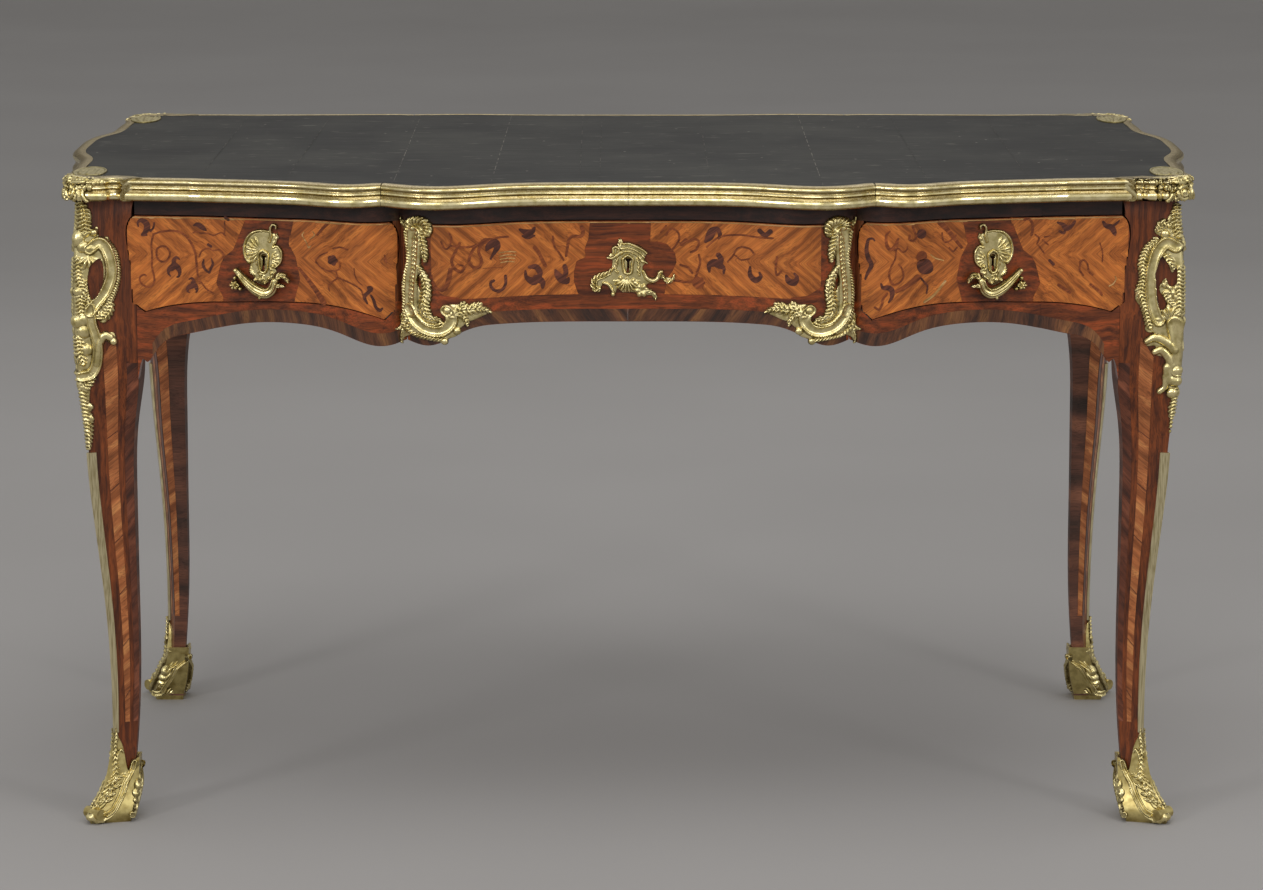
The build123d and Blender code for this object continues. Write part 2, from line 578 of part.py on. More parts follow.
def keyhole(x):
    """Cutter for a keyhole through a front and its escutcheon, as deep as the lock case's face."""
    depth = lock_place(x)
    slot = block(x - KEYHOLE_SLOT / 2, x + KEYHOLE_SLOT / 2, -FAR, depth, KEYHOLE_Z - KEYHOLE_DROP, KEYHOLE_Z)
    bore = Pos(x, depth - 50, KEYHOLE_Z) * Rot(90, 0, 0) * Cylinder(KEYHOLE_RADIUS, 100)
    return bore + slot


def drawer_parts(name, front, x, x0, x1):
    """Save a drawer: its front, box, bottom and lock, between the outer faces x0 and x1 of its sides."""
    whole_case, case, bolt = lock(x)
    behind = front_body(PANEL_THICK)
    front = front - whole_case - keyhole(x)
    left = block(x0, x0 + BOARD, -FAR, BOX_BACK, BOX_BOTTOM, BOX_TOP) & behind
    right = block(x1 - BOARD, x1, -FAR, BOX_BACK, BOX_BOTTOM, BOX_TOP) & behind
    floor = BOX_BOTTOM + BOTTOM_RISE
    bottom = block(x0 + BOARD, x1 - BOARD, -FAR, BOX_BACK, floor, floor + BOTTOM_THICK) & behind
    end = block(x0 + BOARD, x1 - BOARD, BOX_BACK - BOARD, BOX_BACK, floor + BOTTOM_THICK, BOX_TOP - 4)
    return {
        f"{name}_drawer_front": [front],
        f"{name}_drawer_box": [left, right, end],
        f"{name}_drawer_bottom": [bottom],
        f"{name}_lock_case": [case],
        f"{name}_lock_bolt": [bolt],
    }


def side_plate_outline():
    x, z = SIDE_LOCK_X, KEYHOLE_Z
    return Spline(
        up([(x - 4, z + 36), (x + 12, z + 24), (x + 11, z + 2), (x + 19, z - 18), (x + 9, z - 40), (x - 6, z - 48),
            (x - 17, z - 34), (x - 21, z - 14), (x - 12, z + 4), (x - 16, z + 22), (x - 4, z + 36)])
    )


def side_escutcheon():
    """Rocaille plate round the keyhole of the right side drawer."""
    plate = (front_body(-PLATE_THICK) - front_body(0)) & elevation(side_plate_outline())
    return plate - keyhole(SIDE_LOCK_X)


def side_pull():
    """Crescent that stands out from the lower end of the escutcheon."""
    x, z = SIDE_LOCK_X, KEYHOLE_Z - 40
    face = front_y(x)
    lower = ThreePointArc(*up([(x - 36, z + 9), (x + 2, z - 8), (x + 35, z + 11)]))
    upper = ThreePointArc(*up([(x + 35, z + 11), (x + 2, z + 3), (x - 36, z + 9)]))
    crescent = elevation(lower, upper) & block(x - 60, x + 60, face - PULL_REACH, face - PULL_REACH + PULL_THICK, 0, FAR)
    stem = block(x - 6, x + 6, face - PULL_REACH + 4, 0, z - 5, z + 1)
    stem = stem - front_body(-PLATE_THICK)
    return crescent + stem


def centre_plate_outline():
    z = KEYHOLE_Z
    return Spline(
        up([(-4, z + 33), (16, z + 22), (40, z + 12), (44, z - 12), (22, z - 18), (14, z - 38),
            (-6, z - 34), (-22, z - 22), (-44, z - 8), (-38, z + 14), (-16, z + 22), (-4, z + 33)])
    )


def centre_escutcheon():
    plate = (front_body(-PLATE_THICK) - front_body(0)) & elevation(centre_plate_outline())
    return plate - keyhole(0)


def frame_mount_outline():
    """L-shaped scroll frame that laps the joint at the right of the centre drawer."""
    inner, outer = JOINT_X - 32, JOINT_X + 6
    return [
        Line(*up([(outer, APRON_LOBE + 8), (outer, DRAWER_TOP - 6)])),
        Spline(up([(outer, DRAWER_TOP - 6), (outer - 14, DRAWER_TOP), (inner + 2, DRAWER_TOP - 4),
                   (inner - 4, DRAWER_TOP - 18), (inner + 8, DRAWER_TOP - 40)])),
        Spline(up([(inner + 8, DRAWER_TOP - 40), (inner + 10, APRON_MID + 59), (inner + 4, APRON_MID + 35),
                   (inner - 20, APRON_MID + 19), (inner - 64, APRON_MID + 14)])),
        Spline(up([(inner - 64, APRON_MID + 14), (inner - 44, APRON_MID + 5), (inner - 14, APRON_MID - 1),
                   (inner + 8, APRON_MID - 11), (outer - 10, APRON_LOBE + 4), (outer, APRON_LOBE + 8)])),
    ]


def frame_mount():
    """The scroll frame cast: it rides on the centre drawer, and its lap clears the frame beside it."""
    cast = (front_body(-FRAME_MOUNT_THICK) - front_body(0)) & elevation(*frame_mount_outline())
    lap = block(JOINT_X - 2, FAR, -FAR, 0, 0, FAR) & front_body(-FRAME_MOUNT_LIFT)
    return cast - lap


def make_drawers():
    middle, ogee, _ = apron_edge()
    side = JOINT_X - 1
    half = elevation(
        middle, ogee, Line(ogee @ 1, (JOINT_X, 0, DRAWER_TOP)),
        Line((JOINT_X, 0, DRAWER_TOP), (0, 0, DRAWER_TOP)), Line((0, 0, DRAWER_TOP), middle @ 0),
    )
    strip = front_body(0) - front_body(PANEL_THICK)
    half_front = strip & half & block(0, side, -FAR, FAR, 0, FAR)
    centre = drawer_parts(
        "centre", half_front + mirrored(half_front), 0.0, -JOINT_X + RUNNER_WIDTH / 2, JOINT_X - RUNNER_WIDTH / 2
    )
    for node, shapes in centre.items():
        save(node, *shapes)
    save("centre_escutcheon", centre_escutcheon())
    mount = frame_mount()
    save("frame_mount_right", mount)
    save("frame_mount_left", mirrored(mount))

    front = strip & cartouche(0)
    right = drawer_parts(
        "right", front, SIDE_LOCK_X, PARTITION_OUTER + RUNNER_WIDTH / 2, POST_INNER - RUNNER_WIDTH / 2
    )
    plate, pull = side_escutcheon(), side_pull()
    for node, shapes in right.items():
        save(node, *shapes)
        save(node.replace("right", "left"), *[mirrored(shape) for shape in shapes])
    save("right_escutcheon", plate)
    save("left_escutcheon", mirrored(plate))
    save("right_pull", pull)
    save("left_pull", mirrored(pull))


def make_back_mounts():
    """The front's frame mounts and escutcheons repeated on the false drawers of the back, without keyholes."""
    face = back_body(-PLATE_THICK) - back_body(0)
    casts = [(back_body(-FRAME_MOUNT_THICK) - back_body(0)) & elevation(*frame_mount_outline())]
    casts.append(face & elevation(side_plate_outline()))
    middle = face & elevation(centre_plate_outline())
    save("back_mounts", middle, *casts, *[mirrored(cast) for cast in casts])


os.makedirs("parts", exist_ok=True)
rim = make_top()
corner_leg = make_legs(rim)
make_carcass(corner_leg)
make_drawers()
make_back_mounts()
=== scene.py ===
"""Looks of a serpentine writing desk with marquetry drawers, cast gilt mounts and a leather top.

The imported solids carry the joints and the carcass. This script lays veneers, castings and leather over them.
Drawings are made flat, in millimetres, and wrapped on the faces that they sit on: u runs across, v runs up.
"""

import json
import logging
import math
from abc import ABC, abstractmethod
from collections.abc import Callable, Iterable, Sequence
from dataclasses import dataclass, replace
from enum import Enum

import bmesh
import bpy
import numpy as np
from mathutils import Euler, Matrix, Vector

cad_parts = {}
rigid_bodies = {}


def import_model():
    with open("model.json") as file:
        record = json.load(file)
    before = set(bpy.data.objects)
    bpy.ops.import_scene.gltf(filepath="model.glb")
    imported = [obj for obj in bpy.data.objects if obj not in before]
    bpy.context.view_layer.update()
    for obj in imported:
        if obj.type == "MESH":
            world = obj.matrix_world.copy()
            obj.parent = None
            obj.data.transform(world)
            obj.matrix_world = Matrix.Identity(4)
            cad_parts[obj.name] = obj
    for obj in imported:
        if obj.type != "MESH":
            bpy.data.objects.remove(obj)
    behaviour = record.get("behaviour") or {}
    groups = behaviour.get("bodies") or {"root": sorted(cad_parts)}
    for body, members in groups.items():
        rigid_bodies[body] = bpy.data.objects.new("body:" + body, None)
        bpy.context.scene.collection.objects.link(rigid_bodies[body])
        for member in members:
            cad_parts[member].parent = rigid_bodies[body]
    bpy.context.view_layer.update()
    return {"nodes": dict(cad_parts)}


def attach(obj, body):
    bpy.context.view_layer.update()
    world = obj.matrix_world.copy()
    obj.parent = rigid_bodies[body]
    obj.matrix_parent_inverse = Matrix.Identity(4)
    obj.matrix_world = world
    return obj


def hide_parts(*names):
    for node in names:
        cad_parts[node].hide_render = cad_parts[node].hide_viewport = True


log = logging.getLogger("desk")
for stray in list(bpy.data.objects):
    bpy.data.objects.remove(stray)
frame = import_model()

MM = 0.001
LIFT = 0.35  # mm that a veneer lies over the solid's facets
Array = np.ndarray


# ---------------------------------------------------------------------------------------------- small tools
def srgb(code: str) -> tuple[float, float, float, float]:
    """Turn a hex colour into the linear colour that Blender works in.

    Args:
        code: six hex digits, with or without the leading mark.

    Returns:
        Linear red, green, blue and an alpha of 1.
    """
    code = code.lstrip("#")
    parts = [int(code[i:i + 2], 16) / 255 for i in (0, 2, 4)]
    red, green, blue = (p / 12.92 if p <= 0.04045 else ((p + 0.055) / 1.055) ** 2.4 for p in parts)
    return red, green, blue, 1.0


def per_mm(size: float) -> float:
    """Texture scale, on coordinates in metres, that makes a pattern's features this many millimetres wide."""
    return 1.0 / (size * MM)


def add_node(tree: bpy.types.NodeTree, kind: str, inputs: dict | None = None, stops: Sequence[tuple[float, str]] = (),
             **settings) -> bpy.types.Node:
    """Add a shader node with its settings, and fill or link its inputs.

    Args:
        tree: the material's node tree.
        kind: Blender's name for the node.
        inputs: input name or number to a plain value, a socket, or a node whose first output in use feeds it.
        stops: place and hex colour of each stop of a colour ramp.
        settings: properties of the node.

    Returns:
        The new node.
    """
    made = tree.nodes.new(kind)
    for key, value in settings.items():
        setattr(made, key, value)
    for key, value in (inputs or {}).items():
        if isinstance(value, bpy.types.Node):
            value = next(out for out in value.outputs if out.enabled)
        if isinstance(value, bpy.types.NodeSocket):
            tree.links.new(value, made.inputs[key])
        else:
            made.inputs[key].default_value = value
    for place, _ in stops[2:]:
        made.color_ramp.elements.new(place)
    for number, (place, code) in enumerate(stops):
        made.color_ramp.elements[number].position = place
        made.color_ramp.elements[number].color = srgb(code)
    return made


def curve_through(points: Array, step: float) -> Array:
    """Smooth curve through rows of numbers, every column alike.

    Args:
        points: rows with x and y first.
        step: distance between samples, in the units of x and y.

    Returns:
        Sampled rows.
    """
    points = np.asarray(points, float)
    if len(points) == 1:
        return points
    padded = np.vstack([2 * points[0] - points[1], points, 2 * points[-1] - points[-2]])
    rows = []
    for p0, p1, p2, p3 in zip(padded, padded[1:], padded[2:], padded[3:]):
        count = max(2, int(np.hypot(*(p2 - p1)[:2]) / step))
        t = np.linspace(0, 1, count, endpoint=False)[:, None]
        rows.append(0.5 * (2 * p1 + (p2 - p0) * t + (2 * p0 - 5 * p1 + 4 * p2 - p3) * t ** 2
                           + (3 * p1 - p0 - 3 * p2 + p3) * t ** 3))
    return np.vstack(rows + [points[-1:]])


def smooth_line(places: Array, values: Array, grid: Array, reach: float) -> Array:
    """Average values so that the facets of the solids don't show.

    Args:
        places: where the values were read, in rising order.
        values: what was read there.
        grid: places that are asked for, evenly spaced.
        reach: distance that is averaged over.

    Returns:
        A value for each place of the grid.
    """
    fine = np.linspace(grid[0] - reach, grid[-1] + reach, int(grid[-1] - grid[0] + 2 * reach) + 1)
    raw = np.interp(fine, places, values)
    kernel = np.hanning(int(reach) * 2 + 1)
    padded = np.pad(raw, int(reach), mode="reflect", reflect_type="odd")
    return np.interp(grid, fine, np.convolve(padded, kernel / kernel.sum(), mode="valid"))


class Solid:
    """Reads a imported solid's mesh, in millimetres."""

    NUDGE = 0.003  # mm that a cut is moved by, so that it never runs through a vertex
    SPACING = 1.0  # mm between the points of a cut

    def __init__(self, name: str) -> None:
        """Load the vertices and triangles of a node.

        Args:
            name: the node.
        """
        mesh = frame["nodes"][name].data
        flat = np.zeros(len(mesh.vertices) * 3, np.float32)
        mesh.vertices.foreach_get("co", flat)
        self.points = flat.reshape(-1, 3).astype(float) / MM
        mesh.calc_loop_triangles()
        corners = np.zeros(len(mesh.loop_triangles) * 3, np.int32)
        mesh.loop_triangles.foreach_get("vertices", corners)
        self.triangles = corners.reshape(-1, 3)

    def slice(self, axis: int, place: float) -> Array:
        """Points along the outline where a plane square to an axis cuts the mesh.

        Args:
            axis: 0, 1 or 2.
            place: the plane's place along the axis, in millimetres.

        Returns:
            Points closely spaced along every line of the cut, one row each.
        """
        corners = self.points[self.triangles]
        over = corners[:, :, axis] - (place + self.NUDGE)
        ends = []
        for a, b in ((0, 1), (1, 2), (2, 0)):
            crossing = over[:, a] * over[:, b] < 0
            share = np.where(crossing, over[:, a] / np.where(crossing, over[:, a] - over[:, b], 1), 0)
            ends.append((crossing, corners[:, a] + (corners[:, b] - corners[:, a]) * share[:, None]))
        cut = (ends[0][0].astype(int) + ends[1][0] + ends[2][0]) == 2
        first = np.where(ends[0][0][:, None], ends[0][1], ends[1][1])[cut]
        last = np.where(ends[2][0][:, None], ends[2][1], ends[1][1])[cut]
        counts = np.maximum(2, np.ceil(np.linalg.norm(last - first, axis=1) / self.SPACING).astype(int) + 1)
        which = np.repeat(np.arange(len(first)), counts)
        step = np.arange(len(which)) - np.repeat(np.cumsum(counts) - counts, counts)
        share = (step / (counts[which] - 1))[:, None]
        return first[which] + (last[which] - first[which]) * share


# ---------------------------------------------------------------------------------------------- faces to wrap on
class Face(ABC):
    """A face of the desk that drawings are wrapped on."""

    @abstractmethod
    def ground(self, u: Array, v: Array) -> Array:
        """Points of the face, in millimetres in the desk's frame, for the drawing's u and v."""

    @abstractmethod
    def outward(self, u: Array, v: Array) -> Array:
        """Rough outward direction at each point, to settle the normal's sense."""

    def place(self, u: Array, v: Array, height: Array) -> Array:
        """Points that stand over the face by a height along its normal.

        Args:
            u: across, in millimetres.
            v: up, in millimetres.
            height: over the face, in millimetres.

        Returns:
            Points in millimetres.
        """
        step = 0.5
        across = self.ground(u + step, v) - self.ground(u - step, v)
        along = self.ground(u, v + step) - self.ground(u, v - step)
        normal = np.cross(across, along)
        normal /= np.maximum(np.linalg.norm(normal, axis=1), 1e-9)[:, None]
        sense = np.sign((normal * self.outward(u, v)).sum(1))
        return self.ground(u, v) + normal * (sense * height)[:, None]


def outer_line(node: str, level: float, axis: int, side: int, grid: Array, reach: float) -> Array:
    """How far a node reaches at a level, at each place of a grid.

    Args:
        node: the solid.
        level: z of the cut.
        axis: 0 to go along x and read y, 1 to go along y and read x.
        side: -1 or 1, the side that is read.
        grid: places along the axis.
        reach: millimetres that the line is smoothed over.

    Returns:
        The reach at each place.
    """
    cut = Solid(node).slice(2, level)
    along, out = cut[:, axis], cut[:, 1 - axis]
    bins = np.round(along / 2)
    picks = [np.nonzero(bins == b)[0][np.argmax(side * out[bins == b])] for b in np.unique(bins)]
    return smooth_line(along[picks], out[picks], grid, reach)


class Frieze(Face):
    """Front or back of the frieze: u is x and v is z."""

    HALF = 574.0  # mm from the middle to each end
    SMOOTH = 5.0  # mm that the measured curve is smoothed over

    def __init__(self, node: str, level: float, side: int) -> None:
        """Measure the curve of a node.

        Args:
            node: the solid.
            level: z at which it is measured.
            side: -1 for the front and 1 for the back.
        """
        self.side = side
        self.grid = np.arange(-self.HALF, self.HALF + 1, 1.0)
        self.reach = outer_line(node, level, 0, side, self.grid, self.SMOOTH)

    def y(self, x: Array) -> Array:
        """The face's y at each x."""
        return np.interp(x, self.grid, self.reach)

    def ground(self, u: Array, v: Array) -> Array:
        """Points of the face."""
        return np.stack([u, self.y(u), v], 1)

    def outward(self, u: Array, v: Array) -> Array:
        """Away from the middle of the desk."""
        return np.tile([0.0, float(self.side), 0.0], (len(u), 1))


class End(Face):
    """Left or right end of the frieze: u is y and v is z."""

    FIRST, LAST = -240.0, 315.0  # y of its ends
    LEVEL = 700.0  # z at which it is measured
    SMOOTH = 6.0  # mm that the measured bow is smoothed over

    def __init__(self, node: str, side: int) -> None:
        """Measure the bow of an end apron.

        Args:
            node: the solid.
            side: -1 for the left and 1 for the right.
        """
        self.side = side
        self.grid = np.arange(self.FIRST, self.LAST, 1.0)
        self.reach = outer_line(node, self.LEVEL, 1, side, self.grid, self.SMOOTH)

    def ground(self, u: Array, v: Array) -> Array:
        """Points of the face."""
        return np.stack([np.interp(u, self.grid, self.reach), u, v], 1)

    def outward(self, u: Array, v: Array) -> Array:
        """Away from the middle of the desk."""
        return np.tile([float(self.side), 0.0, 0.0], (len(u), 1))


class Leg(Face):
    """Outside of a leg, unrolled: u is 0 on the outer arris and grows along the long face, then round inside."""

    ROUND = 4.0  # how far the unrolled faces are eased at a corner
    MARGIN = 0.6  # mm at each end that isn't measured
    SECTIONS = 90  # levels that are measured
    SMOOTH = 12.0  # mm that the corners' lines are smoothed over

    def __init__(self, node: str, side_x: int, side_y: int, shift: float, extra: float = 0.0) -> None:
        """Measure the four corners of a leg at many levels.

        Args:
            node: solid to measure, on the back right.
            side_x: -1 for the left and 1 for the right.
            side_y: -1 for the front and 1 for the back.
            shift: y of the middle of the four legs.
            extra: how far the face is pushed out from the solid.
        """
        solid = Solid(node)
        low, high = solid.points[:, 2].min() + self.MARGIN, solid.points[:, 2].max() - self.MARGIN
        self.levels = np.linspace(low, high, self.SECTIONS)
        corners = []
        for level in self.levels:
            cut = solid.slice(2, level)
            x, y = cut[:, 0], cut[:, 1] - shift
            picks = [np.argmax(x + y), np.argmax(y - x), np.argmin(x + y), np.argmax(x - y)]
            corners.append([(x[p], y[p]) for p in picks])
        raw = np.array(corners)
        self.corners = np.stack(
            [[smooth_line(self.levels, raw[:, c, a], self.levels, self.SMOOTH) for a in (0, 1)] for c in range(4)]
        )
        self.side = np.array([side_x, side_y])
        self.shift = shift
        self.extra = extra

    def corner(self, number: int, z: Array) -> Array:
        """A corner in the desk's frame, less the shift: 0 arris, 1 long face's end, 2 inner, 3 end face's end."""
        line = self.corners[number]
        return np.stack([np.interp(z, self.levels, line[a]) for a in (0, 1)], 1) * self.side

    def widths(self, z: Array) -> tuple[Array, Array]:
        """Widths of the long face and of the end face at each level."""
        arris = self.corner(0, z)
        return (np.linalg.norm(self.corner(1, z) - arris, axis=1), np.linalg.norm(self.corner(3, z) - arris, axis=1))

    def ground(self, u: Array, v: Array) -> Array:
        """Points of the leg's outside.

        Args:
            u: round the leg from its arris, in millimetres.
            v: up, in millimetres.

        Returns:
            Points in millimetres.
        """
        arris, front, inner, end = (self.corner(n, v) for n in range(4))
        wide_front, wide_end = self.widths(v)
        flat = np.empty((len(u), 2))
        for sign, face_end, wide in ((1, front, wide_front), (-1, end, wide_end)):
            mine = u >= 0 if sign > 0 else u < 0
            run = np.abs(u)
            along = (face_end - arris) / wide[:, None]
            away = inner - face_end
            away = away / np.maximum(np.linalg.norm(away, axis=1), 1e-6)[:, None]
            on_face = arris + along * np.minimum(run, wide)[:, None]
            beyond = away * np.maximum(run - wide, 0)[:, None]
            flat[mine] = (on_face + beyond)[mine]
        ease = np.clip(1 - np.abs(u) / self.ROUND, 0, 1) ** 2 * self.ROUND / 4
        diagonal = (inner - arris) / np.linalg.norm(inner - arris, axis=1)[:, None]
        flat = flat + diagonal * ease[:, None]
        return np.stack([flat[:, 0], flat[:, 1] + self.shift, v], 1)

    def outward(self, u: Array, v: Array) -> Array:
        """Away from the middle of the leg.

        Args:
            u: round the leg from its arris, in millimetres.
            v: up, in millimetres.

        Returns:
            A direction for each point.
        """
        middle = (self.corner(0, v) + self.corner(2, v)) / 2
        ground = self.ground(u, v)
        return np.stack([ground[:, 0] - middle[:, 0], ground[:, 1] - self.shift - middle[:, 1], v * 0], 1)

    def place(self, u: Array, v: Array, height: Array) -> Array:
        """Points over the leg, pushed out by the extra."""
        return super().place(u, v, height + self.extra)


# ---------------------------------------------------------------------------------------------- relief drawing
Box = tuple[float, float, float, float]


def around(rows: Array, margin: float) -> Box:
    """Lowest and highest u and v of some rows, with a margin."""
    return rows[:, 0].min() - margin, rows[:, 0].max() + margin, rows[:, 1].min() - margin, rows[:, 1].max() + margin


class Cut(Enum):
    """How a stroke is modelled across its width."""

    ROUND = "round"
    FLAT = "flat"
    BAND = "band"
    LEAF = "leaf"
    ROPE = "rope"


@dataclass(frozen=True)
class Stroke:
    """A modelled stroke: its path holds x, y and half width, in squares of the drawing sheet."""

    cut: Cut
    height: float
    path: tuple[tuple[float, float, float], ...]
    pitch: float = 4.0
    lift: float = 0.0

    def box(self, sheet: "Sheet") -> Box:
        """Lowest and highest u and v near the stroke."""
        rows = sheet.path(self.path)
        return around(rows, rows[:, 2].max() + 2)

    def field(self, u: Array, v: Array, sheet: "Sheet") -> tuple[Array, Array]:
        """Distance inside the stroke and its height, at points of the sheet.

        Args:
            u: across, in millimetres.
            v: up, in millimetres.
            sheet: turns squares to millimetres.

        Returns:
            Distance inside (negative outside) and height, both in millimetres.
        """
        line = curve_through(sheet.path(self.path), 0.7)
        centre, half = line[:, :2], np.maximum(line[:, 2], 0.15)
        run = np.concatenate([[0], np.cumsum(np.linalg.norm(np.diff(centre, axis=0), axis=1))])
        gap = (u[:, None] - centre[:, 0]) ** 2 + (v[:, None] - centre[:, 1]) ** 2
        near = np.argmin(np.sqrt(gap) - half, axis=1)
        distance = np.sqrt(gap[np.arange(len(u)), near])
        tangent = np.gradient(centre, axis=0) if len(centre) > 1 else np.array([[1.0, 0.0]])
        side = np.sign((u - centre[near, 0]) * tangent[near, 1] - (v - centre[near, 1]) * tangent[near, 0])
        wide, along = half[near], run[near]
        ratio = distance / wide
        dome = np.sqrt(np.clip(1 - ratio ** 2, 0, 1))
        if self.cut is Cut.LEAF:
            ribs = np.abs(np.cos(np.pi * (along / self.pitch - ratio * 0.9)))
            inside = wide * (0.72 + 0.28 * ribs) - distance
            vein = 1 - 0.4 * np.exp(-(ratio / 0.14) ** 2)
            return inside, self.height * np.sqrt(np.clip(inside / wide, 0, 1)) * (0.5 + 0.5 * ribs) * vein
        inside = wide - distance
        if self.cut is Cut.ROPE:
            ribs = np.abs(np.cos(np.pi * (along / self.pitch + side * ratio * 0.6)))
            return inside - 0.12 * wide * (1 - ribs), self.height * dome * (0.45 + 0.55 * ribs)
        if self.cut is Cut.BAND:
            lips = 0.5 + 0.5 * np.clip(ratio / 0.72, 0, 1) ** 3
            return inside, self.height * lips * np.sqrt(np.clip((1 - ratio) / 0.28, 0, 1))
        if self.cut is Cut.FLAT:
            return inside, self.height * np.sqrt(np.clip(inside / 1.5, 0, 1))
        return inside, self.height * dome


@dataclass(frozen=True)
class Fan:
    """A shell, flower or cluster of petals round a point: angles are degrees, anticlockwise from the right."""

    height: float
    x: float
    y: float
    radius: float
    ribs: int
    start: float = 0.0
    stop: float = 360.0
    lift: float = 0.0

    def box(self, sheet: "Sheet") -> Box:
        """Lowest and highest u and v near the fan."""
        rows = sheet.path([(self.x, self.y, self.radius)])
        return around(rows, rows[0, 2] + 2)

    def field(self, u: Array, v: Array, sheet: "Sheet") -> tuple[Array, Array]:
        """Distance inside the fan and its height, at points of the sheet.

        Args:
            u: across, in millimetres.
            v: up, in millimetres.
            sheet: turns squares to millimetres.

        Returns:
            Distance inside (negative outside) and height, both in millimetres.
        """
        (cx, cy, radius), = sheet.path([(self.x, self.y, self.radius)])
        du, dv = (u - cx) * sheet.hand, v - cy
        reach, turn = np.hypot(du, dv), np.degrees(np.arctan2(dv, du))
        middle, spread = (self.start + self.stop) / 2, (self.stop - self.start) / 2
        off = np.abs((turn - middle + 180) % 360 - 180)
        ribs = np.abs(np.cos(np.radians(turn - self.start) * self.ribs * 180 / (2 * spread)))
        inside = radius * (0.8 + 0.2 * ribs) - reach
        inside = np.minimum(inside, np.radians(spread - off) * np.maximum(reach, radius * 0.15))
        bowl = np.clip(reach / radius, 0, 1)
        return inside, self.height * np.sqrt(np.clip(inside / radius * 2.5, 0, 1)) * (0.45 + 0.55 * ribs * bowl ** 0.5)


@dataclass(frozen=True)
class Sheet:
    """Where a drawing lies: its origin in millimetres, the size of a square, and 1 or -1 for its hand."""

    u: float
    v: float
    square: float
    hand: int = 1

    def path(self, points: Iterable[Sequence[float]]) -> Array:
        """Turn squares to millimetres.

        Args:
            points: rows of x, y (down) and, if the path has them, half widths, in squares.

        Returns:
            The rows in millimetres, with y up.
        """
        rows = np.array([tuple(p) for p in points], float)
        rows[:, 0] = self.hand * (self.u + rows[:, 0] * self.square)
        rows[:, 1] = self.v - rows[:, 1] * self.square
        if rows.shape[1] > 2:
            rows[:, 2] *= self.square
        return rows


def soften(grid: Array, rounds: int) -> Array:
    """Average a grid with its neighbours.

    Args:
        grid: values.
        rounds: how many times.

    Returns:
        The averaged values.
    """
    for _ in range(rounds):
        grid = np.pad(grid, 1, mode="edge")
        grid = (grid[1:-1, 1:-1] * 2 + grid[:-2, 1:-1] + grid[2:, 1:-1] + grid[1:-1, :-2] + grid[1:-1, 2:]) / 6
    return grid


